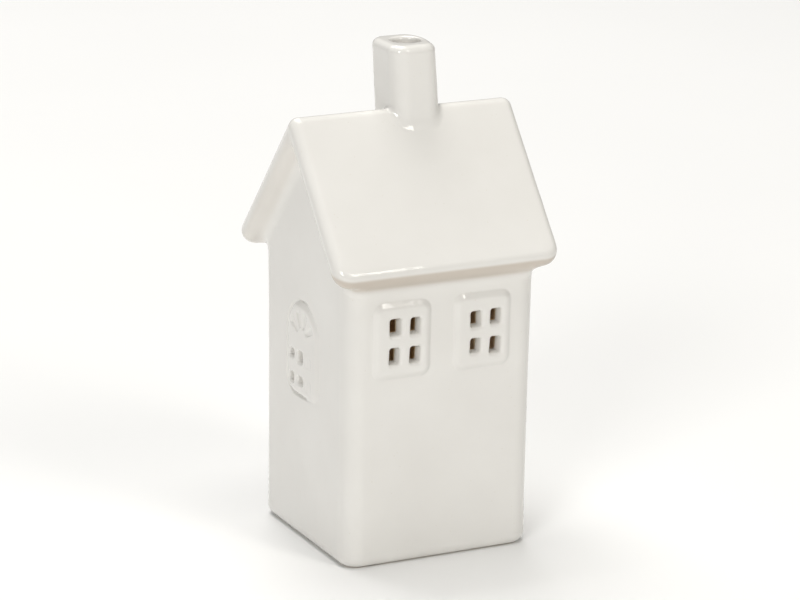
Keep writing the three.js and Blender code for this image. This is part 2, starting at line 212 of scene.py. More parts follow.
def wall_lean(z):
    """How far the walls stand out from the foot at a height: lean times t, less bow times 4t(1 - t), where
    t is the share of the height."""
    share = np.clip(z / WALL_TOP, 0, 1)
    return LEAN * share - BOW * 4 * share * (1 - share)


# Where each flat and bend of the foot's outline ends, measured round it from the middle of the front
LEGS = np.cumsum([0, SEAM_X, BEND, 2 * SEAM_Y, BEND, 2 * SEAM_X, BEND, 2 * SEAM_Y, BEND, SEAM_X])


def on_walls(run, z, out):
    """A place run mm round the foot from the middle of the front (towards +X first), z high and out mm off
    the foot's outline. The outline is flats and quarter circles, so a place is the centre of its bend plus
    radius times the outward direction, and both change evenly along each leg."""
    run = np.mod(run, LEGS[-1])
    sx, sy = SEAM_X, SEAM_Y
    middle_x = np.interp(run, LEGS, [0, sx, sx, sx, sx, -sx, -sx, -sx, -sx, 0])
    middle_y = np.interp(run, LEGS, [-sy, -sy, -sy, sy, sy, sy, sy, -sy, -sy, -sy])
    facing = np.radians(np.interp(run, LEGS, [-90, -90, 0, 0, 90, 90, 180, 180, 270, 270]))
    radius = CORNER + out
    x = middle_x + radius * np.cos(facing)
    y = middle_y + radius * np.sin(facing)
    return np.stack(np.broadcast_arrays(x, y, z), -1)


def front_run(x):
    """Run of a place on the front wall: x itself."""
    return x


def rear_run(x):
    """Run of a place on the rear wall: half way round, less x."""
    return LEGS[-1] / 2 - x


def gable_run(side, y):
    """Run of a place on a side wall: the wall's middle plus y, backwards on the left."""
    return side * (SIDE_MIDDLE + y)


def rectangle_distance(a, b, half_a, half_b, radius):
    """Signed distance from a rectangle with rounded corners, negative inside."""
    over_a, over_b = np.abs(a) - half_a + radius, np.abs(b) - half_b + radius
    outside = np.hypot(np.maximum(over_a, 0), np.maximum(over_b, 0))
    return outside + np.minimum(np.maximum(over_a, over_b), 0) - radius


def raised(distance):
    """Height of a window panel at a distance from its outline, as a share of its full height:
    1 - (1 - t^1.25)^2, a short hollow at the foot and a round pillow above it."""
    t = np.clip((RELIEF_STARTS - distance) / RELIEF_WIDTH, 0, 1)
    return 1 - (1 - t ** 1.25) ** 2


def panel_distance(x, z):
    """Signed distance from the outline of the nearer raised panel of the front wall."""
    away = []
    for low, high in PANELS.values():
        middle, half = (low + high) / 2, (high - low) / 2
        away.append(rectangle_distance(x - middle[0], z - middle[2], half[0], half[2], PANEL_CORNER))
    return np.minimum(*away)


def front_relief(x, z):
    """Both raised panels of the front wall."""
    return RELIEF * raised(panel_distance(x, z))


ARCH_Y = (ARCH_LOW[1] + ARCH_HIGH[1]) / 2
ARCH_RADIUS = (ARCH_HIGH[1] - ARCH_LOW[1]) / 2
SILL_Z = ARCH_LOW[2]
SPRING_Z = ARCH_HIGH[2] - ARCH_RADIUS


def arch_distance(y, z):
    """Signed distance from the arched panel's outline: a rectangle with rounded sill corners below the
    springing line, a half disc above."""
    across, above = y - ARCH_Y, z - SPRING_Z
    jamb, past = (SPRING_Z - SILL_Z) / 2, 20  # both rectangles run past where the other one takes over
    below = rectangle_distance(across, np.minimum(above, 0) + jamb, ARCH_RADIUS, jamb + past, 0)
    foot = rectangle_distance(across, above - past, ARCH_RADIUS, 2 * jamb + past, SILL_CORNER)
    disc = np.hypot(across, above) - ARCH_RADIUS
    return np.where(above > 0, disc, np.maximum(below, foot))


def gable_relief(y, z):
    """The arched panel, less the four soft recesses of the fan and the two faint blind panes beside the
    front. A fine line is pressed into the wall round its rear half, bell-shaped across."""
    across, above = y - ARCH_Y, z - SPRING_Z
    away = arch_distance(y, z)
    pressed = np.exp(-((away - RELIEF_STARTS - 0.4) / 0.5) ** 2) * smoother((across + 8) / 10)
    height = ARCH_RELIEF * raised(away) - ARCH_GROOVE * pressed
    turned = np.degrees(np.arctan2(across, np.maximum(above, 1e-6)))
    reach = np.hypot(across, above)
    radial = smoother((reach - FAN_INNER + 0.6) / 1.2) * smoother((FAN_OUTER + 0.6 - reach) / 1.2)
    for angle in FAN_ANGLES:
        aside = np.radians(np.abs(turned - angle)) * reach
        width = np.radians(FAN_HALF_SPREAD) * reach
        height = height - FAN_DEPTH * radial * (above > 0) * smoother((width + 0.5 - aside) / 1.0)
    for row in (0, 1):
        middle_z = SPRING_Z - ARCH_PANE_TOP - ARCH_PANE_HALF[1] - row * ARCH_PANE_APART[1]
        blind = rectangle_distance(across - ARCH_PANE_SHIFT + ARCH_PANE_APART[0], z - middle_z,
                                   *ARCH_PANE_HALF, 1.0)
        height = height - BLIND_DEPTH * smoother((0.5 - blind) / 1.2)
    return height


def leaned_out(run, z):
    """How far the plain wall stands off the foot's outline: its lean, plus near its top the length by which
    the cove under the eave hangs out."""
    base, one_off = on_walls(run, z, wall_lean(z)), on_walls(run, z, wall_lean(z) + 1)
    added = np.linalg.norm(hung_out(base, one_off - base) - base, axis=-1)
    return wall_lean(z) + added


def front_out(x, z):
    """How far the front wall's skin stands off the foot's outline."""
    return leaned_out(front_run(x), z) + front_relief(x, z) + ripple(on_walls(front_run(x), z, 0))


def rear_out(x, z):
    """How far the rear wall's skin stands off the foot's outline: lean plus unevenness."""
    return leaned_out(rear_run(x), z) + ripple(on_walls(rear_run(x), z, 0))


def gable_out(side):
    """The same for the side wall on that side: lean plus arched panel plus unevenness."""
    def out(y, z):
        run = gable_run(side, y)
        return leaned_out(run, z) + gable_relief(y, z) + ripple(on_walls(run, z, 0))
    return out


def inside_clay(places):
    """True deeper in the wall than the glaze runs."""
    leaned = wall_lean(places[:, 2])
    away = rectangle_distance(places[:, 0], places[:, 1], HALF_X + leaned, HALF_Y + leaned, CORNER)
    return away < -GLAZE_RUNS_IN


# Loops on a flat chart: rows and columns of (across, z)

def side_of_loop(half_along, half_away, radius, steps):
    """One side of a rounded rectangle, from the middle of one corner's bend to the middle of the next, in
    even steps of length: bend centre plus radius times direction."""
    bend = radius * np.pi / 4
    flat = 2 * (half_along - radius)
    length = np.linspace(0, flat + 2 * bend, steps + 1)[:-1]
    heading = np.radians(np.interp(length, [0, bend, bend + flat, 2 * bend + flat], [-45, 0, 0, 45]))
    centre = np.interp(length, [bend, bend + flat], [radius - half_along, half_along - radius])
    return centre + radius * np.sin(heading), radius * np.cos(heading) + half_away - radius


def rectangle_loop(half_a, half_b, radius, steps_a, steps_b):
    """Closed loop of (a, b): bottom, right, top and left side of a rounded rectangle."""
    along_a, away_b = side_of_loop(half_a, half_b, radius, steps_a)
    along_b, away_a = side_of_loop(half_b, half_a, radius, steps_b)
    a = np.concatenate([along_a, away_a, -along_a, -away_a])
    b = np.concatenate([-away_b, along_b, away_b, -along_b])
    return np.stack([a, b], -1)


def turned_loop(loop, degrees):
    """A loop turned about its origin, clockwise as seen from outside."""
    angle = np.radians(degrees)
    return loop @ np.array([[np.cos(angle), np.sin(angle)], [-np.sin(angle), np.cos(angle)]])


def gable_place(side):
    """The function that puts a point of that side wall's chart, y along it and z up, out mm off it."""
    def place(y, z, out):
        return on_walls(gable_run(side, y), z, out)
    return place


def pane_block(low, high, middle, half, corner, steps, hand, out, place):
    """The part of a panel round one pane. Loops run from the block's edge to the pane's lip, over the lip on
    a quarter circle, through the wall, over a smaller lip and back along the inside. hand holds how this
    pane differs from its neighbours: shift, growth of each half size, and degrees of turn."""
    low, high, middle = np.array(low), np.array(high), np.array(middle) + hand[:2]
    edge = rectangle_loop(*((high - low) / 2), 0, *steps) + (low + high) / 2
    half = np.array(half) + hand[2:4]

    def pane(grown):
        """The pane's outline grown by a length, turned and in its place."""
        loop = rectangle_loop(*(half + grown), corner + max(grown, -corner / 2), *steps)
        return turned_loop(loop, hand[4]) + middle

    lip_angles = np.radians(np.linspace(0, 90, 9))[1:]
    back_angles = np.radians(np.linspace(90, 0, 6))

    rows = []
    for share in np.linspace(0, 1, 19):
        loop = edge + (pane(PANE_LIP) - edge) * share
        rows.append((loop, out(*loop.T)))
    for angle in lip_angles:
        loop = pane(PANE_LIP * (1 - np.sin(angle)))
        rows.append((loop, out(*loop.T) - PANE_LIP * (1 - np.cos(angle))))
    for share in np.linspace(0, 1, 7)[1:]:
        loop = pane(-PANE_TAPER * share)
        near = out(*loop.T) - PANE_LIP
        rows.append((loop, near + (PANE_BACK_LIP - WALL - near) * share))
    for angle in back_angles[1:]:
        loop = pane(PANE_BACK_LIP * (1 - np.sin(angle)) - PANE_TAPER)
        rows.append((loop, np.full(len(loop), PANE_BACK_LIP * (1 - np.cos(angle)) - WALL)))
    last = rows[-1][0]
    for share in np.linspace(0, 1, 9)[1:]:
        rows.append((last + (edge - last) * share, np.full(len(edge), -WALL)))
    loops = np.stack([loop for loop, _ in rows])
    outs = np.stack([depth for _, depth in rows])
    return sheet(place(loops[..., 0], loops[..., 1], outs), closed_columns=True)


def both_faces(across, z, out, place, keep=None):
    """The outer skin over a chart, and the inner face of the wall behind it."""
    outer = place(across, z, out(across, z))
    inner = place(across, z, np.full(np.broadcast(across, z).shape, -WALL))
    return [sheet(outer, keep=keep), sheet(inner, keep=keep)]


def side_strip(loop, out, place):
    """The wall's thickness along a closed loop of (across, z): skin and inner face joined by quads."""
    across, z = loop[..., 0], loop[..., 1]
    skin, back = place(across, z, out(across, z)), place(across, z, np.full(across.shape, -WALL))
    return sheet(np.stack([skin, back]), closed_columns=True)


def border_of(across, z):
    """The closed loop round a ruled rectangle, through every line's end."""
    low = np.stack([across[:-1], np.full(len(across) - 1, z[0])], -1)
    right = np.stack([np.full(len(z) - 1, across[-1]), z[:-1]], -1)
    top = np.stack([across[:0:-1], np.full(len(across) - 1, z[-1])], -1)
    left = np.stack([np.full(len(z) - 1, across[0]), z[:0:-1]], -1)
    return np.concatenate([low, right, top, left])


# Front wall and its windows

BLOCK_STEPS = (32, 40)  # along each quarter of a front panel
LEFT_PANEL, RIGHT_PANEL = PANELS["front_window_left"], PANELS["front_window_right"]


def place_front(x, z, out):
    """A place out mm off the front wall of the foot's outline."""
    return on_walls(front_run(x), z, out)


def panel_lines(panel):
    """The lines of a panel's four blocks, which meet in the middle of its panes."""
    low, high = panel
    middle = (low + high)[[0, 2]] / 2 + PANE_SHIFT
    lines_x = ruled([low[0], middle[0], high[0]], [BLOCK_STEPS[0]] * 2)
    return lines_x, ruled([low[2], middle[1], high[2]], [BLOCK_STEPS[1]] * 2)


def front_wall():
    """A ruled sheet with two windows left out, the inner face behind it and the strips that close both."""
    (left_x, panel_z), (right_x, _) = panel_lines(LEFT_PANEL), panel_lines(RIGHT_PANEL)
    lines_x = np.concatenate([
        np.linspace(-SEAM_X, left_x[0], 7)[:-1], left_x[:-1],
        np.linspace(left_x[-1], right_x[0], 25)[:-1], right_x[:-1],
        np.linspace(right_x[-1], SEAM_X, 11)])
    lines_z = np.concatenate([
        ruled([FLOOR_TOP, panel_z[0] - 12, panel_z[0]], [36, 24])[:-1], panel_z[:-1],
        np.linspace(panel_z[-1], WALL_TOP, 9)])
    middle_x, middle_z = (lines_x[1:] + lines_x[:-1]) / 2, (lines_z[1:] + lines_z[:-1]) / 2
    in_row = (middle_z > panel_z[0]) & (middle_z < panel_z[-1])
    in_column = np.zeros(len(middle_x), bool)
    for low, high in PANELS.values():
        in_column |= (middle_x > low[0]) & (middle_x < high[0])
    keep = ~(in_row[:, None] & in_column[None, :])
    x, z = np.meshgrid(lines_x, lines_z)
    parts = both_faces(x, z, front_out, place_front, keep)
    loops = [border_of(lines_x, lines_z), border_of(left_x, panel_z), border_of(right_x, panel_z)]
    return parts + [side_strip(loop, front_out, place_front) for loop in loops]


def front_window(panel, hands):
    """Four blocks, each round one pane, and the strip round the panel."""
    low, high = panel[0][[0, 2]], panel[1][[0, 2]]
    middle = (low + high) / 2 + PANE_SHIFT
    parts = []
    for (column, row), hand in zip([(-1, 1), (1, 1), (-1, -1), (1, -1)], hands):
        corner = np.where([column > 0, row > 0], high, low)
        pane_middle = middle + np.array([column, row]) * np.array(PANE_APART) / 2
        parts.append(pane_block(np.minimum(corner, middle), np.maximum(corner, middle), pane_middle,
                                PANE_HALF, PANE_CORNER, BLOCK_STEPS, hand, front_out, place_front))
    return parts + [side_strip(border_of(*panel_lines(panel)), front_out, place_front)]


# Gable walls and their arched windows

ARCH_COLUMN_EDGES = ARCH_Y + np.array([-ARCH_RADIUS, ARCH_PANE_SHIFT - ARCH_PANE_APART[0] / 2,
                                       ARCH_PANE_SHIFT + ARCH_PANE_APART[0] / 2, ARCH_RADIUS])
ARCH_ROW_EDGES = np.array([SILL_Z, SPRING_Z - ARCH_PANE_TOP - 2 * ARCH_PANE_HALF[1]
                           - (ARCH_PANE_APART[1] / 2 - ARCH_PANE_HALF[1]), SPRING_Z])
ARCH_COLUMN_STEPS, ARCH_ROW_STEPS, ARCH_TURNS = (26, 24, 26), (28, 32), 120


def arch_lines():
    """Upright and level lines of the arched panel's blocks, in even steps between the blocks' edges."""
    return ruled(ARCH_COLUMN_EDGES, ARCH_COLUMN_STEPS), ruled(ARCH_ROW_EDGES, ARCH_ROW_STEPS)


def arch_seam():
    """The closed outline of the arched panel: sill, right jamb, half circle and left jamb."""
    lines_y, lines_z = arch_lines()
    sill = np.stack([lines_y[:-1], np.full(len(lines_y) - 1, SILL_Z)], -1)
    right = np.stack([np.full(len(lines_z) - 1, lines_y[-1]), lines_z[:-1]], -1)
    angle = np.linspace(0, np.pi, ARCH_TURNS + 1)[:-1]
    crown = np.stack([ARCH_Y + ARCH_RADIUS * np.cos(angle), SPRING_Z + ARCH_RADIUS * np.sin(angle)], -1)
    left = np.stack([np.full(len(lines_z) - 1, lines_y[0]), lines_z[:0:-1]], -1)
    return np.concatenate([sill, right, crown, left])


def stretched_to_rectangle(loop, middle, low, high):
    """Each point of the loop moved straight away from the middle until it meets the rectangle, with the
    point nearest to each corner moved into it."""
    aim = loop - middle
    with np.errstate(divide="ignore"):
        reach = np.where(aim > 0, high - middle, middle - low) / np.abs(aim)
    edge = middle + aim * reach.min(axis=1)[:, None]
    for corner in ((low[0], low[1]), (high[0], low[1]), (high[0], high[1]), (low[0], high[1])):
        edge[np.hypot(*(edge - corner).T).argmin()] = corner
    return edge


def gable_wall(side):
    """Loops that open out from the window's outline to the whole chart of the wall, rounded corners
    included, denser near the window."""
    place, out = gable_place(side), gable_out(side)
    seam = arch_seam()
    reach = SEAM_Y + BEND
    middle = np.array([ARCH_Y, (SILL_Z + SPRING_Z) / 2])
    edge = stretched_to_rectangle(seam, middle, np.array([-reach, FLOOR_TOP]), np.array([reach, WALL_TOP]))
    share = np.linspace(0, 1, 61)[:, None, None] ** 1.25
    loops = seam + (edge - seam) * share
    y, z = loops[..., 0], loops[..., 1]
    skin = sheet(place(y, z, out(y, z)), closed_columns=True)
    back = sheet(place(y, z, np.full(y.shape, -WALL)), closed_columns=True)
    return [skin, back, side_strip(seam, out, place), side_strip(edge, out, place)]


def gable_window(side, hands):
    """Below the springing line three columns of two blocks, the column nearest the front without panes, and
    above it a half disc of arcs round the middle of that line."""
    place, out = gable_place(side), gable_out(side)
    parts = []
    hand = iter(hands)
    for column in range(3):
        for row in range(2):
            low = ARCH_COLUMN_EDGES[column], ARCH_ROW_EDGES[row]
            high = ARCH_COLUMN_EDGES[column + 1], ARCH_ROW_EDGES[row + 1]
            steps = ARCH_COLUMN_STEPS[column], ARCH_ROW_STEPS[row]
            if column == 0:
                y, z = np.meshgrid(ruled([low[0], high[0]], steps[:1]), ruled([low[1], high[1]], steps[1:]))
                parts += both_faces(y, z, out, place)
                continue
            middle = (ARCH_Y + ARCH_PANE_SHIFT + (column - 1) * ARCH_PANE_APART[0],
                      SPRING_Z - ARCH_PANE_TOP - ARCH_PANE_HALF[1] - (1 - row) * ARCH_PANE_APART[1])
            parts.append(pane_block(low, high, middle, ARCH_PANE_HALF, ARCH_PANE_CORNER, steps, next(hand),
                                    out, place))
    lines_y = arch_lines()[0]
    half = len(lines_y) // 2
    turn = np.linspace(0, 1, ARCH_TURNS + 1)
    right, left = lines_y[half:, None], lines_y[half::-1, None]
    middle, reach = (right + left) / 2, (right - left) / 2
    y, z = middle + reach * np.cos(np.pi * turn), SPRING_Z + reach * np.sin(np.pi * turn)
    parts += both_faces(y, z, out, place)
    return parts + [side_strip(arch_seam(), out, place)]


# Rear wall with the doorway

def place_rear(x, z, out):
    """A place out mm off the rear wall of the foot's outline."""
    return on_walls(rear_run(x), z, out)


def rear_wall():
    """Lines that run from the wall's edge to the doorway, round its lip on two quarter circles and back on
    the inside, for every place along the doorway. The two feet are closed across the wall."""
    steps = 48  # up each jamb
    turns = np.linspace(0, np.pi, 121)
    jamb = np.linspace(FLOOR_TOP, DOOR_SPRING, steps + 1)
    door = np.concatenate([
        np.stack([np.full(steps, DOOR_HALF), jamb[:-1]], -1),
        np.stack([DOOR_HALF * np.cos(turns), DOOR_SPRING + DOOR_HALF * np.sin(turns)], -1),
        np.stack([np.full(steps, -DOOR_HALF), jamb[-2::-1]], -1)])
    facing = np.concatenate([np.zeros(steps), turns, np.full(steps, np.pi)])
    away = np.stack([np.cos(facing), np.sin(facing)], -1)
    middle = np.array([0.0, DOOR_SPRING - 12])
    far_below = -500.0  # so that no point meets the wall's foot, which the next lines space evenly
    low, high = np.array([-SEAM_X, far_below]), np.array([SEAM_X, WALL_TOP])
    edge = stretched_to_rectangle(door, middle, low, high)
    jambs = door[:, 1] <= DOOR_SPRING
    start, end = np.flatnonzero(~jambs)[[0, -1]]
    edge[:start, 1] = np.linspace(FLOOR_TOP, edge[start, 1], start + 1)[:-1]
    edge[end + 1:, 1] = np.linspace(FLOOR_TOP, edge[end, 1], len(edge) - end)[:-1][::-1]
    edge[:start, 0], edge[end + 1:, 0] = SEAM_X, -SEAM_X
    field = np.linspace(0, 1, 25)[:, None, None]
    lip = np.radians(np.linspace(0, 90, 8))[1:, None]
    grown = door + away * DOOR_LIP
    rows = edge + (grown - edge) * field
    outs = rear_out(rows[..., 0], rows[..., 1])
    over = door + away * (DOOR_LIP * (1 - np.sin(lip)))[..., None]
    over_out = rear_out(over[..., 0], over[..., 1]) - DOOR_LIP * (1 - np.cos(lip))
    back_out = DOOR_LIP * (1 - np.cos(lip)) - WALL + np.zeros(over_out.shape)
    loops = np.concatenate([rows, over, over[::-1], rows[::-1]])
    depth = np.concatenate([outs, over_out, back_out[::-1], np.full(outs.shape, -WALL)])
    skin = place_rear(loops[..., 0], loops[..., 1], depth)
    half = len(skin) // 2
    feet = [np.stack([skin[:half, end], skin[:half - 1:-1, end]]) for end in (0, -1)]
    rim = np.stack([skin[0], skin[-1]])
    return [sheet(skin), sheet(rim), *[sheet(foot) for foot in feet]]


# Plan loops: rounded rectangles that share one set of columns

def plan_columns(along_x, along_y, bend):
    """Where each column of a plan loop sits: its bend's place as shares of the half sizes, and its outward
    direction. It starts at the front's left end and goes round by +X."""
    flat_x, flat_y = np.linspace(-1, 1, along_x + 1)[:-1], np.linspace(-1, 1, along_y + 1)[:-1]
    one = np.ones
    share_x = np.concatenate([flat_x, one(bend), one(along_y), one(bend), -flat_x, -one(bend),
                              -one(along_y), -one(bend)])
    share_y = np.concatenate([-one(along_x), -one(bend), flat_y, one(bend), one(along_x), one(bend),
                              -flat_y, -one(bend)])
    turn = np.linspace(0, 90, bend + 1)[:-1]
    facing = np.concatenate([np.full(along_x, -90), turn - 90, np.zeros(along_y), turn,
                             np.full(along_x, 90), turn + 90, np.full(along_y, 180), turn + 180])
    return share_x, share_y, np.radians(facing)


def plan_loops(columns, half_x, half_y, radius, middle_x=0.0, middle_y=0.0):
    """Rounded rectangles, one row each: middle, plus bend centre, plus radius times direction."""
    share_x, share_y, facing = columns
    given = (half_x, half_y, radius, middle_x, middle_y)
    half_x, half_y, radius, middle_x, middle_y = (np.asarray(value, float)[..., None] for value in given)
    x = middle_x + share_x * (half_x - radius) + radius * np.cos(facing)
    y = middle_y + share_y * (half_y - radius) + radius * np.sin(facing)
    return x, y


# Floor

def floor_piece():
    """A profile carried round the foot: recess, ring, quarter-round foot, outer edge, top. In the doorway
    the outer edge is rounded as a threshold, and elsewhere a cove rises to the wall inside."""
    columns = plan_columns(128, 124, 20)
    nominal_x, nominal_y = plan_loops(columns, HALF_X, HALF_Y, CORNER)
    in_door = smoother((DOOR_HALF + 1.5 - np.abs(nominal_x)) / 3.0) * (nominal_y > HALF_Y - 1)
    threshold = 0.02 + DOOR_LIP * in_door
    cove = 0.03 + INNER_COVE * (1 - smoother((DOOR_HALF + 4 - np.abs(nominal_x)) / 4.0) * (nominal_y > 0))
    rows = []

    def row(half_x, half_y, radius, z):
        """One level rounded rectangle."""
        x, y = plan_loops(columns, half_x, half_y, radius)
        rows.append(np.stack(np.broadcast_arrays(x, y, z), -1))

    for share in np.linspace(0, 1, 12)[:-1]:
        row((RECESS_HALF_X - 1) * share, (RECESS_HALF_Y - 1) * share, 3 * share, RECESS)
    for angle in np.radians(np.linspace(0, 90, 6)):
        row(RECESS_HALF_X - 1 + np.sin(angle), RECESS_HALF_Y - 1 + np.sin(angle), 3 + np.sin(angle),
            RECESS * np.cos(angle))
    for inset in (RECESS_HALF_X + 1.5, RECESS_HALF_X + 3):
        row(inset, inset - 1, CORNER - FOOT_ROUND, 0)
    for angle in np.radians(np.linspace(0, 90, 13)):
        inset = FOOT_ROUND * (1 - np.sin(angle))
        height = FOOT_ROUND * (1 - np.cos(angle))
        grown = wall_lean(height)
        row(HALF_X - inset + grown, HALF_Y - inset + grown, CORNER - inset + grown, height)
    for angle in np.radians(np.linspace(0, 90, 7)):
        grown = wall_lean(FLOOR_TOP) - threshold * (1 - np.cos(angle))
        x, y = nominal_x + grown * np.cos(columns[2]), nominal_y + grown * np.sin(columns[2])
        rows.append(np.stack([x, y, FLOOR_TOP - threshold * (1 - np.sin(angle))], -1))
    row(HALF_X - WALL + 0.3, HALF_Y - WALL + 0.3, CORNER - WALL + 0.3, FLOOR_TOP)
    for angle in np.radians(np.linspace(0, 90, 9)):
        inset = WALL + cove * (1 - np.cos(angle))
        x, y = nominal_x - inset * np.cos(columns[2]), nominal_y - inset * np.sin(columns[2])
        rows.append(np.stack([x, y, FLOOR_TOP + cove * (1 - np.sin(angle))], -1))
    last = rows[-1]
    middle = np.array([0, 0, FLOOR_TOP])
    for share in np.linspace(1, 0, 14)[1:]:
        rows.append(middle + (last - middle) * share)
    return [sheet(np.stack(rows), closed_columns=True)]


# Roof

def nose_reach(y):
    """How far the middle of the eave's round edge stands from the ridge on that side."""
    return np.where(y > 0, REAR_NOSE_Y, NOSE_Y)


def edge_distance(place):
    """Signed distance from the roof slab: a folded sheet with rounded corners at the eaves, swelled by the
    edge radius. Under the ridge the fold is softened, because slip gathers there."""
    x, y, z = place[..., 0], place[..., 1], place[..., 2]

    def along_and_over(aside):
        """The place turned into the slope: down along it, and square off its middle layer."""
        fall = z - APEX_Z
        return (aside * np.cos(PITCH) - fall * np.sin(PITCH), aside * np.sin(PITCH) + fall * np.cos(PITCH))

    _, over = along_and_over(np.abs(y))
    softness = VALLEY * smoother(-over / EDGE)
    along, over = along_and_over(np.sqrt(y * y + softness * softness))
    past_eave = along - nose_reach(y) / np.cos(PITCH) + EAVE_CORNER
    past_gable = np.abs(x) - NOSE_X + EAVE_CORNER
    beyond = (np.hypot(np.maximum(past_eave, 0), np.maximum(past_gable, 0))
              + np.minimum(np.maximum(past_eave, past_gable), 0) - EAVE_CORNER)
    beyond, past_ridge = np.maximum(beyond, 0), np.maximum(-along, 0)
    return np.sqrt(over * over + beyond * beyond + past_ridge * past_ridge) - EDGE


def column_distance(place):
    """Signed distance from the walls carried up into the roof slab's lower half."""
    x, y, z = place[..., 0], place[..., 1], place[..., 2]
    lean = wall_lean(z)
    away = rectangle_distance(x, y, HALF_X + lean, HALF_Y + lean, CORNER)
    over = np.abs(y) * np.sin(PITCH) + (z - APEX_Z) * np.cos(PITCH)
    return np.maximum(away, over + 3.5)


def joined(one, other, radius):
    """Two shapes joined by a cove of that radius, from their distances."""
    corner = np.hypot(np.maximum(radius - one, 0), np.maximum(radius - other, 0))
    return np.maximum(radius, np.minimum(one, other)) - corner


def hung_out(wall, outward):
    """Places on the wall moved outwards on to the cove under the eave, where it reaches them. The length
    is halved down to the one where wall and eave, joined by the cove, are at distance 0."""
    low, high = np.zeros(wall.shape[:-1]), np.full(wall.shape[:-1], 4.0)
    if wall[..., 2].max() > WALL_TOP - 8:
        for _ in range(20):
            middle = (low + high) / 2
            covered = joined(edge_distance(wall + middle[..., None] * outward), middle, EAVE_COVE) < 0
            low, high = np.where(covered, middle, low), np.where(covered, high, middle)
    return wall + low[..., None] * outward


def roof_skin(place):
    """Signed distance from slab and gables, joined by the cove under the roof's edge, less unevenness."""
    return joined(edge_distance(place), column_distance(place), EAVE_COVE) - ripple(place)


def settled(place, skin, rounds=14):
    """Points moved down the skin function's steepest way until they lie on the skin."""
    step = 0.02
    for _ in range(rounds):
        value = skin(place)
        slope = np.stack([(skin(place + step * axis) - skin(place - step * axis)) / (2 * step)
                          for axis in np.eye(3)], -1)
        size = np.maximum((slope * slope).sum(-1), 0.3)
        place = place - np.clip(value / size, -2, 2)[..., None] * slope
    return place


def top_of_roof(y):
    """Height of the roof's upper side: two slopes and the round ridge between them."""
    slope = SLOPES_MEET_Z - np.abs(y) * np.tan(PITCH)
    ridge = APEX_Z + np.sqrt(np.maximum(EDGE ** 2 - y * y, 0))
    return np.where(np.abs(y) < EDGE * np.sin(PITCH), ridge, slope)


def stack_middle(z):
    """Middle of the leaning chimney along X at a height."""
    return STACK_X + STACK_LEAN * (z - SLOPES_MEET_Z) / (CHIMNEY_TOP - SLOPES_MEET_Z)


ROOF_COLUMNS = plan_columns(110, 150, 18)
EAVE_TURNS_TO = 90 - np.degrees(PITCH)  # where the eave's round edge runs out into the slope


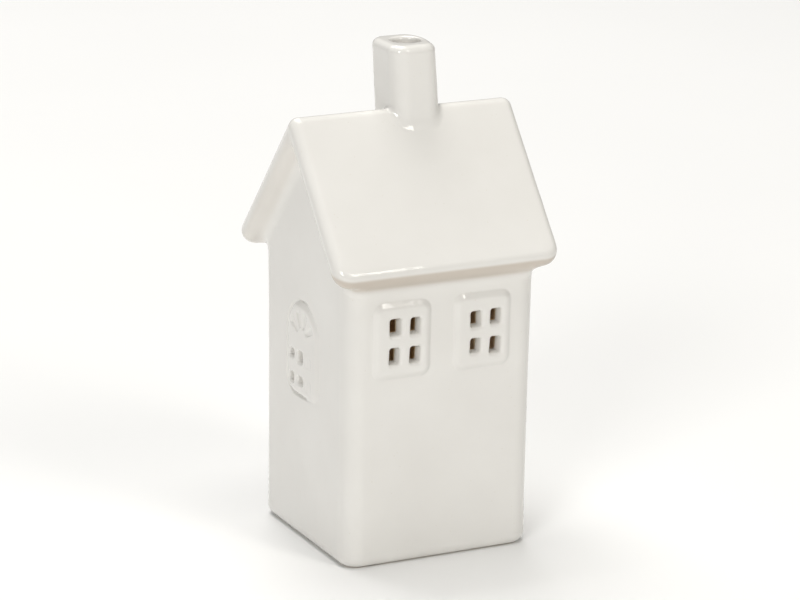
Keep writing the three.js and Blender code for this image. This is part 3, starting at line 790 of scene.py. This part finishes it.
def roof_piece():
    """Loops from the wall top up the wall, through the cove, round the edge and over both slopes to the
    flue, and back through the attic. The outer ones start near the skin and settle on it."""
    columns = ROOF_COLUMNS
    share_x, share_y, facing = columns
    to_gable = np.cos(facing) ** 2  # 0 along the eaves, 1 along the gables
    wall_x, wall_y = plan_loops(columns, HALF_X + LEAN, HALF_Y + LEAN, CORNER + LEAN)

    low, high = np.full(wall_x.shape, WALL_TOP), APEX_Z - np.abs(wall_y) * np.tan(PITCH)
    for _ in range(30):
        middle = (low + high) / 2
        clear = edge_distance(np.stack([wall_x, wall_y, middle], -1)) > EAVE_COVE
        low, high = np.where(clear, middle, low), np.where(clear, high, middle)
    outward = np.stack([np.cos(facing), np.sin(facing), 0 * facing], -1)
    cove_foot = hung_out(np.stack([wall_x, wall_y, low], -1), outward)
    wall_foot = hung_out(np.stack([wall_x, wall_y, np.full(wall_x.shape, WALL_TOP)], -1), outward)
    up_the_wall = wall_foot + (cove_foot - wall_foot) * np.linspace(0, 1, 19)[:, None, None]

    def met_by_cove(overhang):
        """Angle on the round edge where a cove that starts on the wall meets it."""
        return 2.0 - np.degrees(np.arccos((EAVE_COVE - overhang) / (EAVE_COVE + EDGE)))

    gable_start = met_by_cove(NOSE_X - HALF_X - LEAN)
    nose = nose_reach(share_y)
    eave_start = met_by_cove(nose - HALF_Y - LEAN)

    def edge_row(share):
        """One row round the edge: the nose's outline plus EDGE times the direction that the share gives,
        a circle at the eaves and, on the sloping gables, one stretched upright by 1 / cos(pitch)."""
        eave = np.radians(eave_start + (EAVE_TURNS_TO - eave_start) * share)
        gable = np.radians(gable_start + (90 - gable_start) * share)
        radius = EAVE_CORNER + 1.2 * np.cos(gable)
        x = share_x * (NOSE_X + EDGE * np.cos(gable) - radius) + radius * np.cos(facing)
        y = share_y * (nose + EDGE * np.cos(eave) - radius) + radius * np.sin(facing)
        middle = APEX_Z - np.minimum(np.abs(y), nose) * np.tan(PITCH)
        rise = EDGE * (np.sin(eave) * (1 - to_gable) + np.sin(gable) / np.cos(PITCH) * to_gable)
        return np.stack([x, y, middle + rise], -1)

    edge_rows = np.stack([edge_row(share) for share in np.linspace(0, 1, 23)])
    cove_rows = cove_foot + (edge_rows[0] - cove_foot) * np.linspace(0, 1, 11)[1:-1, None, None]
    share = np.linspace(0, 1, 47)[1:]
    edge_plan = np.array([NOSE_X, NOSE_Y + EDGE * np.cos(np.radians(EAVE_TURNS_TO)), EAVE_CORNER, 0, 0])
    hole = np.array([FLUE_HALF_X, FLUE_HALF_Y, FLUE_CORNER]) + FLUE_GAP
    flue_plan = np.array([*hole, stack_middle(SLOPES_MEET_Z - 5) + FLUE_X, FLUE_Y])
    room_plan = np.array([HALF_X - WALL, HALF_Y - WALL, CORNER - WALL, 0, 0])
    x, y = plan_loops(columns, *(edge_plan + (flue_plan - edge_plan) * share[:, None]).T)
    y += np.maximum(share_y, 0) * (REAR_NOSE_Y - NOSE_Y) * (1 - share[:, None])
    slope_rows = np.stack([x, y, top_of_roof(y)], -1)
    skin = settled(np.concatenate([cove_rows, edge_rows, slope_rows]), roof_skin)
    wall_rows = up_the_wall.copy()
    wall_rows[..., 0] += ripple(up_the_wall) * np.cos(facing)
    wall_rows[..., 1] += ripple(up_the_wall) * np.sin(facing)

    share = np.linspace(0, 1, 17)
    x, y = plan_loops(columns, *(flue_plan + (room_plan - flue_plan) * share[:, None]).T)
    ceiling = np.stack([x, y, ATTIC_APEX - np.tan(PITCH) * np.sqrt(y * y + 1)], -1)
    attic_wall = ceiling[-1] + (np.stack([x[-1], y[-1], np.full(x[-1].shape, WALL_TOP)], -1)
                                - ceiling[-1]) * np.linspace(0, 1, 7)[1:, None, None]
    rings = np.concatenate([wall_rows, skin, ceiling, attic_wall])
    return [sheet(rings, closed_rows=True, closed_columns=True)]


def attic_clay(places):
    """True for the attic's faces and the flue's in the roof."""
    return (roof_skin(places) < -2.0) | (places[:, 2] < WALL_TOP + 0.01)


# Chimney

def stack_spread(z):
    """Half of what the foot of the chimney spreads, all of it to the right."""
    return STACK_FLARE / 2 * np.clip((CHIMNEY_TOP - z) / (CHIMNEY_TOP - SLOPES_MEET_Z), 0, 1.5)


def stack_distance(place):
    """Signed distance from the chimney: a rounded rectangle round its leaning middle line."""
    x, y, z = place[..., 0], place[..., 1], place[..., 2]
    spread = stack_spread(z)
    across = x - stack_middle(z) - spread
    return rectangle_distance(across, y - STACK_Y, STACK_HALF_X + spread, STACK_HALF_Y, STACK_CORNER)


def saddle_skin(place):
    """Signed distance from roof and chimney, joined by the cove at its foot, less unevenness."""
    return joined(edge_distance(place), stack_distance(place), SADDLE) - ripple(place)


STACK_COLUMNS = plan_columns(44, 36, 22)


def chimney_piece():
    """Loops from the cove's edge on the roof up the leaning stack, over its round shoulder, down the flue
    into the roof and back out under the cove."""
    columns = STACK_COLUMNS

    def grown(by, z):
        """The stack's outline grown by a length, at a height for each column."""
        share_x, share_y, facing = columns
        spread = stack_spread(z)
        x = (stack_middle(z) + spread + share_x * (STACK_HALF_X + spread - STACK_CORNER)
             + (STACK_CORNER + by) * np.cos(facing))
        y = STACK_Y + share_y * (STACK_HALF_Y - STACK_CORNER) + (STACK_CORNER + by) * np.sin(facing)
        return np.stack(np.broadcast_arrays(x, y, z), -1)

    rim = grown(0, CHIMNEY_TOP)
    bearing = np.arctan2(rim[..., 1] - FLUE_Y, rim[..., 0] - stack_middle(CHIMNEY_TOP) - FLUE_X)

    def flue(by, z):
        """The flue's oval outline grown by a length, at a height, each point towards its column's rim."""
        x = stack_middle(z) + FLUE_X + (FLUE_HALF_X + by) * np.cos(bearing)
        y = FLUE_Y + (FLUE_HALF_Y + by) * np.sin(bearing)
        return np.stack(np.broadcast_arrays(x, y, z), -1)

    quarter = np.radians(np.linspace(0, 90, 15))
    cove = []
    for angle in quarter:
        by = SADDLE * (1 - np.sin(angle)) * 1.06  # starts a little outside the skin that it settles on
        y = grown(by, SLOPES_MEET_Z)[..., 1]
        cove.append(grown(by, top_of_roof(y) + SADDLE * (1 - np.cos(angle)) * 1.2))
    cove = settled(np.stack(cove), saddle_skin)
    room = np.linalg.norm(rim - flue(0, CHIMNEY_TOP), axis=-1)
    # Where the rim is narrow, the outer rounding takes at most 0.6 of it and the flue's lip 0.3
    rounding, lip_round = np.minimum(STACK_ROUND, 0.6 * room), np.minimum(FLUE_ROUND, 0.3 * room)
    shoulder = CHIMNEY_TOP - rounding
    start = cove[-1][..., 2]
    sides = np.stack([grown(0, start + (shoulder - start) * share) for share in np.linspace(0, 1, 31)[1:-1]])
    sides = settled(sides, lambda place: stack_distance(place) - ripple(place))
    top = [grown(-rounding * (1 - np.cos(a)), shoulder + rounding * np.sin(a)) for a in quarter]
    lip = [flue(lip_round * (1 - np.sin(a)), CHIMNEY_TOP - lip_round * (1 - np.cos(a))) for a in quarter]
    mouth = CHIMNEY_TOP - lip_round
    end = top_of_roof(flue(0, mouth)[..., 1]) - 1.2
    down = [flue(0, mouth + (end - mouth) * share) for share in np.linspace(0, 1, 22)[1:]]
    seat = top_of_roof(cove[0][..., 1])
    under = [grown(-2.5, seat - 1.8), grown(1.5, seat - 1.4)]  # hidden in the roof
    hem = cove[:1] - np.array([0, 0, 0.25])  # takes the cove's edge into the roof
    rings = np.concatenate([hem, cove, sides, np.stack(top + lip + down + under)])
    return [sheet(rings, closed_rows=True, closed_columns=True)]


def flue_clay(places):
    """True down the flue, from where the glaze stops, and for the faces hidden in the roof."""
    down_the_flue = (stack_distance(places) < -3.4) & (places[:, 2] < CHIMNEY_TOP - FLUE_GLAZED)
    return down_the_flue | (edge_distance(places) < -0.4)


def painted_eave_shade(places):
    """Painted shade, 0 to 1: how far the glaze colour is darkened to warm brown on the undersides of the
    roof's edges, where shade falls, most of all along the front eave, and less again towards the wall."""
    y, z = places[:, 1], places[:, 2]
    step = np.array([0, 0, 0.02])
    up = (roof_skin(places + step) - roof_skin(places - step)) / 0.04  # 1 on top, -1 underneath
    along_front = smoother((-y - HALF_Y + 3) / 3)
    off_the_wall = smoother((column_distance(places) + 0.2) / 3.4)
    return smoother((0.06 - up) / 0.42) * off_the_wall * (0.3 + 0.7 * along_front) * (z > WALL_TOP - 1)


# Tea light

def round_rings(profile, turns, wobble=None):
    """A profile of (radius, z) carried round the axis. wobble(angle, radius, z) adds to the radius."""
    radius, z = np.array(profile, float).T[:, :, None]
    angle = np.linspace(0, 2 * np.pi, turns + 1)[:-1]
    radius, z, angle = np.broadcast_arrays(radius, z, angle)
    if wobble is not None:
        radius = radius + wobble(angle, radius, z)
    return np.stack([radius * np.cos(angle), radius * np.sin(angle), z], -1)


CUP_RADIUS = CUP_HIGH[0]
FOIL = 0.35
CUP_RIM = 0.5
CUP_BASE = CUP_RADIUS - CUP_RIM - 0.6
CUP_BEND = 1.0
FLUTES = 54


def cup_piece():
    """Drawn foil: a base with a pressed ring, a fluted wall and a rim rolled outwards."""
    base, top = CUP_LOW[2], CUP_HIGH[2]
    wall_top = top - 2 * CUP_RIM
    flat = CUP_BASE - CUP_BEND  # radius of the base without its bend

    def wall(z):
        """Radius of the wall at a height, wider towards the rim."""
        return CUP_BASE + (CUP_RADIUS - CUP_RIM - CUP_BASE) * (z - base) / (wall_top - base)

    def flutes(angle, radius, z):
        """Ribs that fade towards base and rim."""
        fade = smoother((z - base - CUP_BEND) / 2.0) * smoother((wall_top - 1.0 - z) / 2.0)
        return 0.16 * fade * (radius > flat) * (np.cos(FLUTES * angle) - 1)

    def pressed(radius):
        """Height of the base's ring."""
        return 0.45 * np.exp(-((radius - 11.5) / 0.8) ** 2) + 0.2 * np.exp(-(radius / 4.5) ** 4)

    bends = np.radians(np.linspace(-90, 0, 7))
    across = np.linspace(0, flat, 20)
    outside = [(r, base + pressed(r)) for r in across]
    outside += [(flat + CUP_BEND * np.cos(a), base + CUP_BEND * (1 + np.sin(a))) for a in bends]
    outside += [(wall(z), z) for z in np.linspace(base + 1.5, wall_top, 26)]
    roll = [(CUP_RADIUS - CUP_RIM + CUP_RIM * np.cos(a), top - CUP_RIM + CUP_RIM * np.sin(a))
            for a in np.radians(np.linspace(-70, 150, 16))]
    inside = []
    for r, z in outside[::-1]:
        on_wall = r > flat - 0.001
        r, z = (r - FOIL, z) if on_wall else (r, z + FOIL)
        if z < base + 1.2:
            r = min(r, flat + CUP_BEND - FOIL)
        inside.append((r, max(z, base + FOIL)))
    rings = round_rings(outside + roll + inside, FLUTES * 6, flutes)
    return [sheet(rings, closed_columns=True)]


def wax_piece():
    """Poured wax: it climbs a little at the foil and at the wick, sinks between them, and stays clear of the
    sustainer below."""
    outer = CUP_BASE - 0.9
    mouth = CUP_RADIUS - CUP_RIM - FOIL - 0.75
    hole, bottom = 0.95, CUP_LOW[2] + FOIL + 1.1
    radius = ruled([hole, 3, mouth - 2, mouth], [9, 29, 11])
    sink = -0.55 + 0.35 * np.exp(-((radius - hole) / 0.9)) + 0.55 * np.exp((radius - mouth) / 0.7)
    neck = SUSTAINER_HIGH[2] + 0.35
    top = [(r, WAX_TOP + s) for r, s in zip(radius, sink)]
    side = [(outer + (mouth - outer) * s, bottom + (WAX_TOP - bottom) * s) for s in np.linspace(1, 0, 10)[1:]]
    under = [(r, bottom) for r in np.linspace(outer - 0.4, 6.4, 10)]
    well = [(6.3, bottom), (1.65, bottom), (1.65, neck), (hole, neck)]
    rings = round_rings(top + side + under + well, 120)
    x, y, z = rings[..., 0], rings[..., 1], rings[..., 2]
    rings[..., 2] += 0.05 * np.sin(x / 4.0 + 1) * np.sin(y / 5.0) * (z > WAX_TOP - 1)
    return [sheet(rings, closed_rows=True, closed_columns=True)]


def wick_piece():
    """Braided cotton: a round cord whose skin rises in two crossing helices, fraying to a blunt tip."""
    foot, tip = WICK_LOW[2], WICK_HIGH[2]
    z = np.linspace(foot, tip, 150)
    half = WICK_HIGH[0]

    def braid(angle, radius, height):
        """Two helices that cross, |sin(1.5 angle + 2.1 z)| times |sin(1.5 angle - 2.1 z)|."""
        plait = np.abs(np.sin(1.5 * angle + height * 2.1)) * np.abs(np.sin(1.5 * angle - height * 2.1))
        return radius * (0.16 * plait - 0.16)

    body = [(half * (1 - 0.35 * smoother((h - tip + 0.7) / 0.7)), h) for h in z]
    return [sheet(round_rings([(0, foot)] + body + [(0, tip)], 48, braid), closed_columns=True)]


def sustainer_piece():
    """Stamped tinplate: a disc with a turned-down edge and a crimped sleeve."""
    low, high = SUSTAINER_LOW[2], SUSTAINER_HIGH[2]
    plate = low + 0.3
    outer = SUSTAINER_HIGH[0]

    def crimp(angle, radius, z):
        """The sleeve pressed in on three sides."""
        return np.where((z > plate + 1.2) & (radius > 1.0), -0.07 * (1 + np.cos(3 * angle)), 0.0)

    blend = np.radians(np.linspace(0, 90, 6))
    profile = [(0, low)] + [(r, low) for r in np.linspace(1, outer - 0.15, 8)]
    rim = np.radians(np.linspace(-90, 90, 9))
    profile += [(outer - 0.15 + 0.15 * np.cos(a), low + 0.15 + 0.15 * np.sin(a)) for a in rim]
    profile += [(r, plate) for r in np.linspace(outer - 0.5, 2.0, 8)]
    profile += [(1.8 - 0.6 * np.sin(a), plate + 0.6 * (1 - np.cos(a))) for a in blend]
    profile += [(1.2, z) for z in np.linspace(plate + 0.8, high, 10)]
    profile += [(0.98, z) for z in np.linspace(high, plate, 6)] + [(0, plate)]
    return [sheet(round_rings(profile, 72, crimp), closed_columns=True)]


# Materials

def new_material(name):
    """A material with its node tree and its main shader."""
    material = bpy.data.materials.new(name)
    material.use_nodes = True
    tree = material.node_tree
    shader = tree.nodes["Principled BSDF"]
    return material, tree, shader


def noise(tree, scale, detail, roughness=0.5):
    """Noise on object coordinates, scale in bumps per metre."""
    where = tree.nodes.new("ShaderNodeTexCoord")
    made = tree.nodes.new("ShaderNodeTexNoise")
    made.inputs["Scale"].default_value = scale
    made.inputs["Detail"].default_value = detail
    made.inputs["Roughness"].default_value = roughness
    tree.links.new(where.outputs["Object"], made.inputs["Vector"])
    return made.outputs["Fac"]


def ramp(tree, value, stops):
    """A colour for each value: stops are (position, (r, g, b))."""
    made = tree.nodes.new("ShaderNodeValToRGB")
    elements = made.color_ramp.elements
    while len(elements) < len(stops):
        elements.new(0.5)
    for element, (position, colour) in zip(elements, stops):
        element.position = position
        element.color = (*colour, 1)
    tree.links.new(value, made.inputs["Fac"])
    return made.outputs["Color"]


def spread(tree, value, low, high, to_low, to_high):
    """A value moved from one range to another."""
    made = tree.nodes.new("ShaderNodeMapRange")
    ends = {"From Min": low, "From Max": high, "To Min": to_low, "To Max": to_high}
    for socket, number in ends.items():
        made.inputs[socket].default_value = number
    tree.links.new(value, made.inputs["Value"])
    return made.outputs["Result"]


def bump(tree, height, distance, strength, before=None):
    """Small unevenness, distance in metres, on top of what another bump gives."""
    made = tree.nodes.new("ShaderNodeBump")
    made.inputs["Distance"].default_value = distance
    made.inputs["Strength"].default_value = strength
    tree.links.new(height, made.inputs["Height"])
    if before is not None:
        tree.links.new(before, made.inputs["Normal"])
    return made.outputs["Normal"]


def multiplied(tree, colour, other, factor):
    """One colour times another, by the factor."""
    made = tree.nodes.new("ShaderNodeMix")
    made.data_type = "RGBA"
    made.blend_type = "MULTIPLY"
    made.inputs["Factor"].default_value = factor
    tree.links.new(colour, made.inputs["A"])
    tree.links.new(other, made.inputs["B"])
    return made.outputs["Result"]


def white_glaze():
    """Glossy warm white glaze: slow drifts between cream and cooler white, sparse faint specks, painted
    shade in warm brown under the roof's edges, and a skin that is not quite level."""
    material, tree, shader = new_material("white_glaze")
    drift = ramp(tree, noise(tree, 28, 3), [(0.30, (0.800, 0.782, 0.748)), (0.70, (0.838, 0.822, 0.790))])
    specks = tree.nodes.new("ShaderNodeTexVoronoi")
    specks.inputs["Scale"].default_value = 260
    where = tree.nodes.new("ShaderNodeTexCoord")
    tree.links.new(where.outputs["Object"], specks.inputs["Vector"])
    speck = ramp(tree, specks.outputs["Distance"], [(0.035, (0.80, 0.74, 0.64)), (0.07, (1, 1, 1))])
    colour = multiplied(tree, drift, speck, 0.35)
    # Painted shade: the attribute darkens the glaze colour towards warm brown under the roof's edges, where
    # shade falls
    eave_shade_share = tree.nodes.new("ShaderNodeAttribute")
    eave_shade_share.attribute_name = "painted_eave_shade"
    body = ramp(tree, eave_shade_share.outputs["Fac"],
                [(0.0, (1, 1, 1)), (0.5, (0.87, 0.84, 0.81)), (1.0, (0.74, 0.68, 0.62))])
    colour = multiplied(tree, colour, body, 1.0)
    tree.links.new(colour, shader.inputs["Base Color"])
    tree.links.new(spread(tree, noise(tree, 90, 2), 0.3, 0.7, 0.045, 0.085), shader.inputs["Roughness"])
    slow = bump(tree, noise(tree, 120, 1), 0.0002, 0.25)
    tree.links.new(bump(tree, noise(tree, 900, 2), 0.00003, 0.25, slow), shader.inputs["Normal"])
    shader.inputs["IOR"].default_value = 1.5
    return material


def bare_clay():
    """Unglazed stoneware inside and under the foot: warm brown, grainy and dry."""
    material, tree, shader = new_material("bare_clay")
    colour = ramp(tree, noise(tree, 240, 5, 0.6), [(0.30, (0.66, 0.49, 0.31)), (0.70, (0.78, 0.61, 0.42))])
    tree.links.new(colour, shader.inputs["Base Color"])
    tree.links.new(spread(tree, noise(tree, 500, 3), 0.3, 0.7, 0.75, 0.95), shader.inputs["Roughness"])
    tree.links.new(bump(tree, noise(tree, 1400, 4), 0.0001, 0.5), shader.inputs["Normal"])
    return material


def cup_foil():
    """Drawn aluminium foil: satin, finely streaked up the wall, slightly dulled."""
    material, tree, shader = new_material("cup_foil")
    where = tree.nodes.new("ShaderNodeTexCoord")
    mapping = tree.nodes.new("ShaderNodeMapping")
    mapping.inputs["Scale"].default_value = (1, 1, 0.06)
    streaks = tree.nodes.new("ShaderNodeTexNoise")
    streaks.inputs["Scale"].default_value = 2600
    streaks.inputs["Detail"].default_value = 3
    tree.links.new(where.outputs["Object"], mapping.inputs["Vector"])
    tree.links.new(mapping.outputs["Vector"], streaks.inputs["Vector"])
    colour = ramp(tree, streaks.outputs["Fac"], [(0.3, (0.74, 0.75, 0.76)), (0.7, (0.86, 0.87, 0.87))])
    tree.links.new(colour, shader.inputs["Base Color"])
    shader.inputs["Metallic"].default_value = 1
    tree.links.new(spread(tree, streaks.outputs["Fac"], 0.3, 0.7, 0.22, 0.38), shader.inputs["Roughness"])
    tree.links.new(bump(tree, streaks.outputs["Fac"], 0.00004, 0.5), shader.inputs["Normal"])
    return material


def paraffin():
    """Unburnt wax: milky, with light passing into it and faint cloudy crystals."""
    material, tree, shader = new_material("paraffin")
    colour = ramp(tree, noise(tree, 320, 5, 0.6), [(0.3, (0.84, 0.82, 0.76)), (0.7, (0.91, 0.895, 0.85))])
    tree.links.new(colour, shader.inputs["Base Color"])
    shader.inputs["Subsurface Weight"].default_value = 0.35
    shader.inputs["Subsurface Radius"].default_value = (0.004, 0.003, 0.0022)
    shader.inputs["Subsurface Scale"].default_value = 0.5
    tree.links.new(spread(tree, noise(tree, 200, 3), 0.3, 0.7, 0.32, 0.5), shader.inputs["Roughness"])
    tree.links.new(bump(tree, noise(tree, 700, 3), 0.00005, 0.4), shader.inputs["Normal"])
    return material


def cotton():
    """Waxed braid: fine yarn fibres that wind round the cord."""
    material, tree, shader = new_material("cotton")
    colour = ramp(tree, noise(tree, 3000, 4, 0.7), [(0.3, (0.72, 0.68, 0.58)), (0.7, (0.88, 0.85, 0.77))])
    tree.links.new(colour, shader.inputs["Base Color"])
    shader.inputs["Roughness"].default_value = 0.8
    shader.inputs["Sheen Weight"].default_value = 0.25
    tree.links.new(bump(tree, noise(tree, 6000, 3), 0.0001, 0.6), shader.inputs["Normal"])
    return material


def tinned_plate():
    """Thin tinplate with a faint spangle."""
    material, tree, shader = new_material("tinned_plate")
    where = tree.nodes.new("ShaderNodeTexCoord")
    spangle = tree.nodes.new("ShaderNodeTexVoronoi")
    spangle.inputs["Scale"].default_value = 900
    tree.links.new(where.outputs["Object"], spangle.inputs["Vector"])
    colour = ramp(tree, spangle.outputs["Distance"], [(0.0, (0.62, 0.63, 0.62)), (0.6, (0.78, 0.78, 0.76))])
    tree.links.new(colour, shader.inputs["Base Color"])
    shader.inputs["Metallic"].default_value = 1
    tree.links.new(spread(tree, noise(tree, 1500, 3), 0.3, 0.7, 0.3, 0.48), shader.inputs["Roughness"])
    return material


GLAZE, CLAY = white_glaze(), bare_clay()
FOIL_FINISH, WAX_FINISH, WICK_FINISH, TIN_FINISH = cup_foil(), paraffin(), cotton(), tinned_plate()


# The house and the tea light

def ceramic(name, sheets, bare=inside_clay):
    """A piece of the house, glazed, with bare clay where the given rule says."""
    return piece(name, sheets, [GLAZE, CLAY], "house", name, bare)


# How each pane came out when it was cut by hand: shift across and up and growth in half width and half
# height in mm, turn in degrees
LEFT_HANDS = [(0.10, 0.35, 0.20, 0.05, 1.0), (0.0, 0.10, -0.05, 0.0, -2.0), (-0.15, 0.05, 0.0, 0.0, -1.5),
              (0.0, -0.20, 0.05, 0.0, -3.0)]
RIGHT_HANDS = [(0.20, -0.40, 0.10, -0.10, 1.5), (0.10, -0.10, 0.05, -0.25, -1.5),
               (0.15, 0.15, 0.0, -0.35, -2.5), (0.15, -0.40, 0.10, 0.05, -3.5)]
GABLE_HANDS = [(0.0, 0.6, 0.05, -1.0, 2.0), (0.1, 0.5, 0, -0.2, -1.0),
               (0, 0.4, -0.1, -0.6, 1.5), (-0.1, 0.6, 0, -0.9, 0)]


def floor_clay(places):
    """Bare under the foot and on the floor inside, glazed on the rounded outside and on the threshold."""
    away = rectangle_distance(places[:, 0], places[:, 1], HALF_X, HALF_Y, CORNER)
    return (places[:, 2] < 0.25) | (away < -3.9)


ceramic("floor", floor_piece(), floor_clay)
ceramic("front_wall", front_wall())
ceramic("rear_wall", rear_wall())
for side, word in ((-1, "left"), (1, "right")):
    ceramic(f"{word}_wall", gable_wall(side))
    ceramic(f"gable_window_{word}", gable_window(side, GABLE_HANDS))
ceramic("front_window_left", front_window(LEFT_PANEL, LEFT_HANDS))
ceramic("front_window_right", front_window(RIGHT_PANEL, RIGHT_HANDS))
ceramic("roof", roof_piece(), attic_clay)
ceramic("chimney", chimney_piece(), flue_clay)

piece("tea_light_cup", cup_piece(), [FOIL_FINISH], "tea_light", "tea_light_cup")
piece("tea_light_wax", wax_piece(), [WAX_FINISH], "tea_light", "tea_light_wax")
piece("wick_sustainer", sustainer_piece(), [TIN_FINISH], "tea_light", "wick_sustainer")
piece("wick", wick_piece(), [WICK_FINISH], "tea_light", "wick")


# Camera

PHOTO_WIDTH = 800
FOCAL_PIXELS = 3501.0
AZIMUTH, ELEVATION, ROLL = np.radians([-26.70, 16.39, -0.95])
AIM = np.array([0, 0, 85.0])
DISTANCE, SHIFTED_RIGHT, SHIFTED_UP = 1360.42, 0.84, 7.70


def camera():
    """The camera that the fit to the photograph gave: round from the front by the azimuth, up by the
    elevation, rolled, and moved sideways in its own frame."""
    back = np.array([np.sin(AZIMUTH) * np.cos(ELEVATION), -np.cos(AZIMUTH) * np.cos(ELEVATION),
                     np.sin(ELEVATION)])
    level = np.array([np.cos(AZIMUTH), np.sin(AZIMUTH), 0])
    upright = np.cross(back, level)
    right = np.cos(ROLL) * level - np.sin(ROLL) * upright
    up = np.sin(ROLL) * level + np.cos(ROLL) * upright
    place = AIM + DISTANCE * back + SHIFTED_RIGHT * right + SHIFTED_UP * up
    data = bpy.data.cameras.new("camera")
    data.lens = FOCAL_PIXELS * data.sensor_width / PHOTO_WIDTH
    data.clip_start, data.clip_end = 0.05, 50
    made = bpy.data.objects.new("camera", data)
    turn = Matrix(np.stack([right, up, back], 1).tolist()).to_4x4()
    made.matrix_world = Matrix.Translation(Vector(place * MM + FOOT_MIDDLE)) @ turn
    bpy.context.scene.collection.objects.link(made)
    bpy.context.scene.camera = made


# Stage

def stage_floor():
    """A large pale sweep, level under the house."""
    mesh = bpy.data.meshes.new("stage_floor")
    reach = 12.0
    corners = [(-reach, -reach, 0), (reach, -reach, 0), (reach, reach, 0), (-reach, reach, 0)]
    mesh.from_pydata(corners, [], [(0, 1, 2, 3)])
    made = bpy.data.objects.new("stage_floor", mesh)
    bpy.context.scene.collection.objects.link(made)
    material, tree, shader = new_material("stage_paper")
    colour = ramp(tree, noise(tree, 3, 2), [(0.3, (0.86, 0.86, 0.855)), (0.7, (0.88, 0.88, 0.875))])
    tree.links.new(colour, shader.inputs["Base Color"])
    shader.inputs["Roughness"].default_value = 0.9
    mesh.materials.append(material)


def softbox(name, place, target, size, watts, colour, roll=0):
    """A rectangular lamp that faces the target, rolled by degrees about its own axis."""
    data = bpy.data.lights.new(name, "AREA")
    data.shape = "RECTANGLE"
    data.size, data.size_y = size
    data.energy = watts
    data.color = colour
    made = bpy.data.objects.new(name, data)
    made.location = place
    made.rotation_mode = "QUATERNION"
    facing = (Vector(target) - Vector(place)).to_track_quat("-Z", "Y")
    made.rotation_quaternion = facing @ Quaternion((0, 0, 1), np.radians(roll))
    bpy.context.scene.collection.objects.link(made)


HOUSE_MIDDLE = FOOT_MIDDLE + [0, 0, 0.09]


def light_place(azimuth, elevation, distance):
    """A place seen from the middle of the house: degrees round from the front (towards +X), degrees up and
    metres away."""
    round_by, up = np.radians(azimuth), np.radians(elevation)
    away = np.array([np.cos(up) * np.sin(round_by), -np.cos(up) * np.cos(round_by), np.sin(up)])
    return HOUSE_MIDDLE + distance * away


def lighting():
    """Soft studio light: a broad panel overhead, a box behind, and two small ones on either side of the
    front, whose mirror pictures are the highlights in the glaze. The right one is rolled to lie along the
    eave."""
    world = bpy.data.worlds.new("studio")
    world.use_nodes = True
    background = world.node_tree.nodes["Background"]
    background.inputs["Color"].default_value = (1.0, 0.99, 0.97, 1)
    background.inputs["Strength"].default_value = 0.06
    bpy.context.scene.world = world
    softbox("overhead", light_place(0, 89, 5.0), HOUSE_MIDDLE, (3.4, 3.4), 127, (1.0, 0.99, 0.955))
    softbox("behind", light_place(180, 60, 3.2), HOUSE_MIDDLE, (2.0, 2.0), 58, (1.0, 0.99, 0.98))
    softbox("front_right", light_place(22.8, 37, 2.6), HOUSE_MIDDLE, (0.62, 0.95), 15, (1.0, 0.97, 0.91), -15)
    softbox("front_left", light_place(-48, 24, 2.6), HOUSE_MIDDLE, (0.8, 1.0), 24, (0.985, 0.985, 0.97))
    bpy.context.scene.view_settings.view_transform = "Standard"
    bpy.context.scene.view_settings.look = "None"


camera()
stage_floor()
lighting()
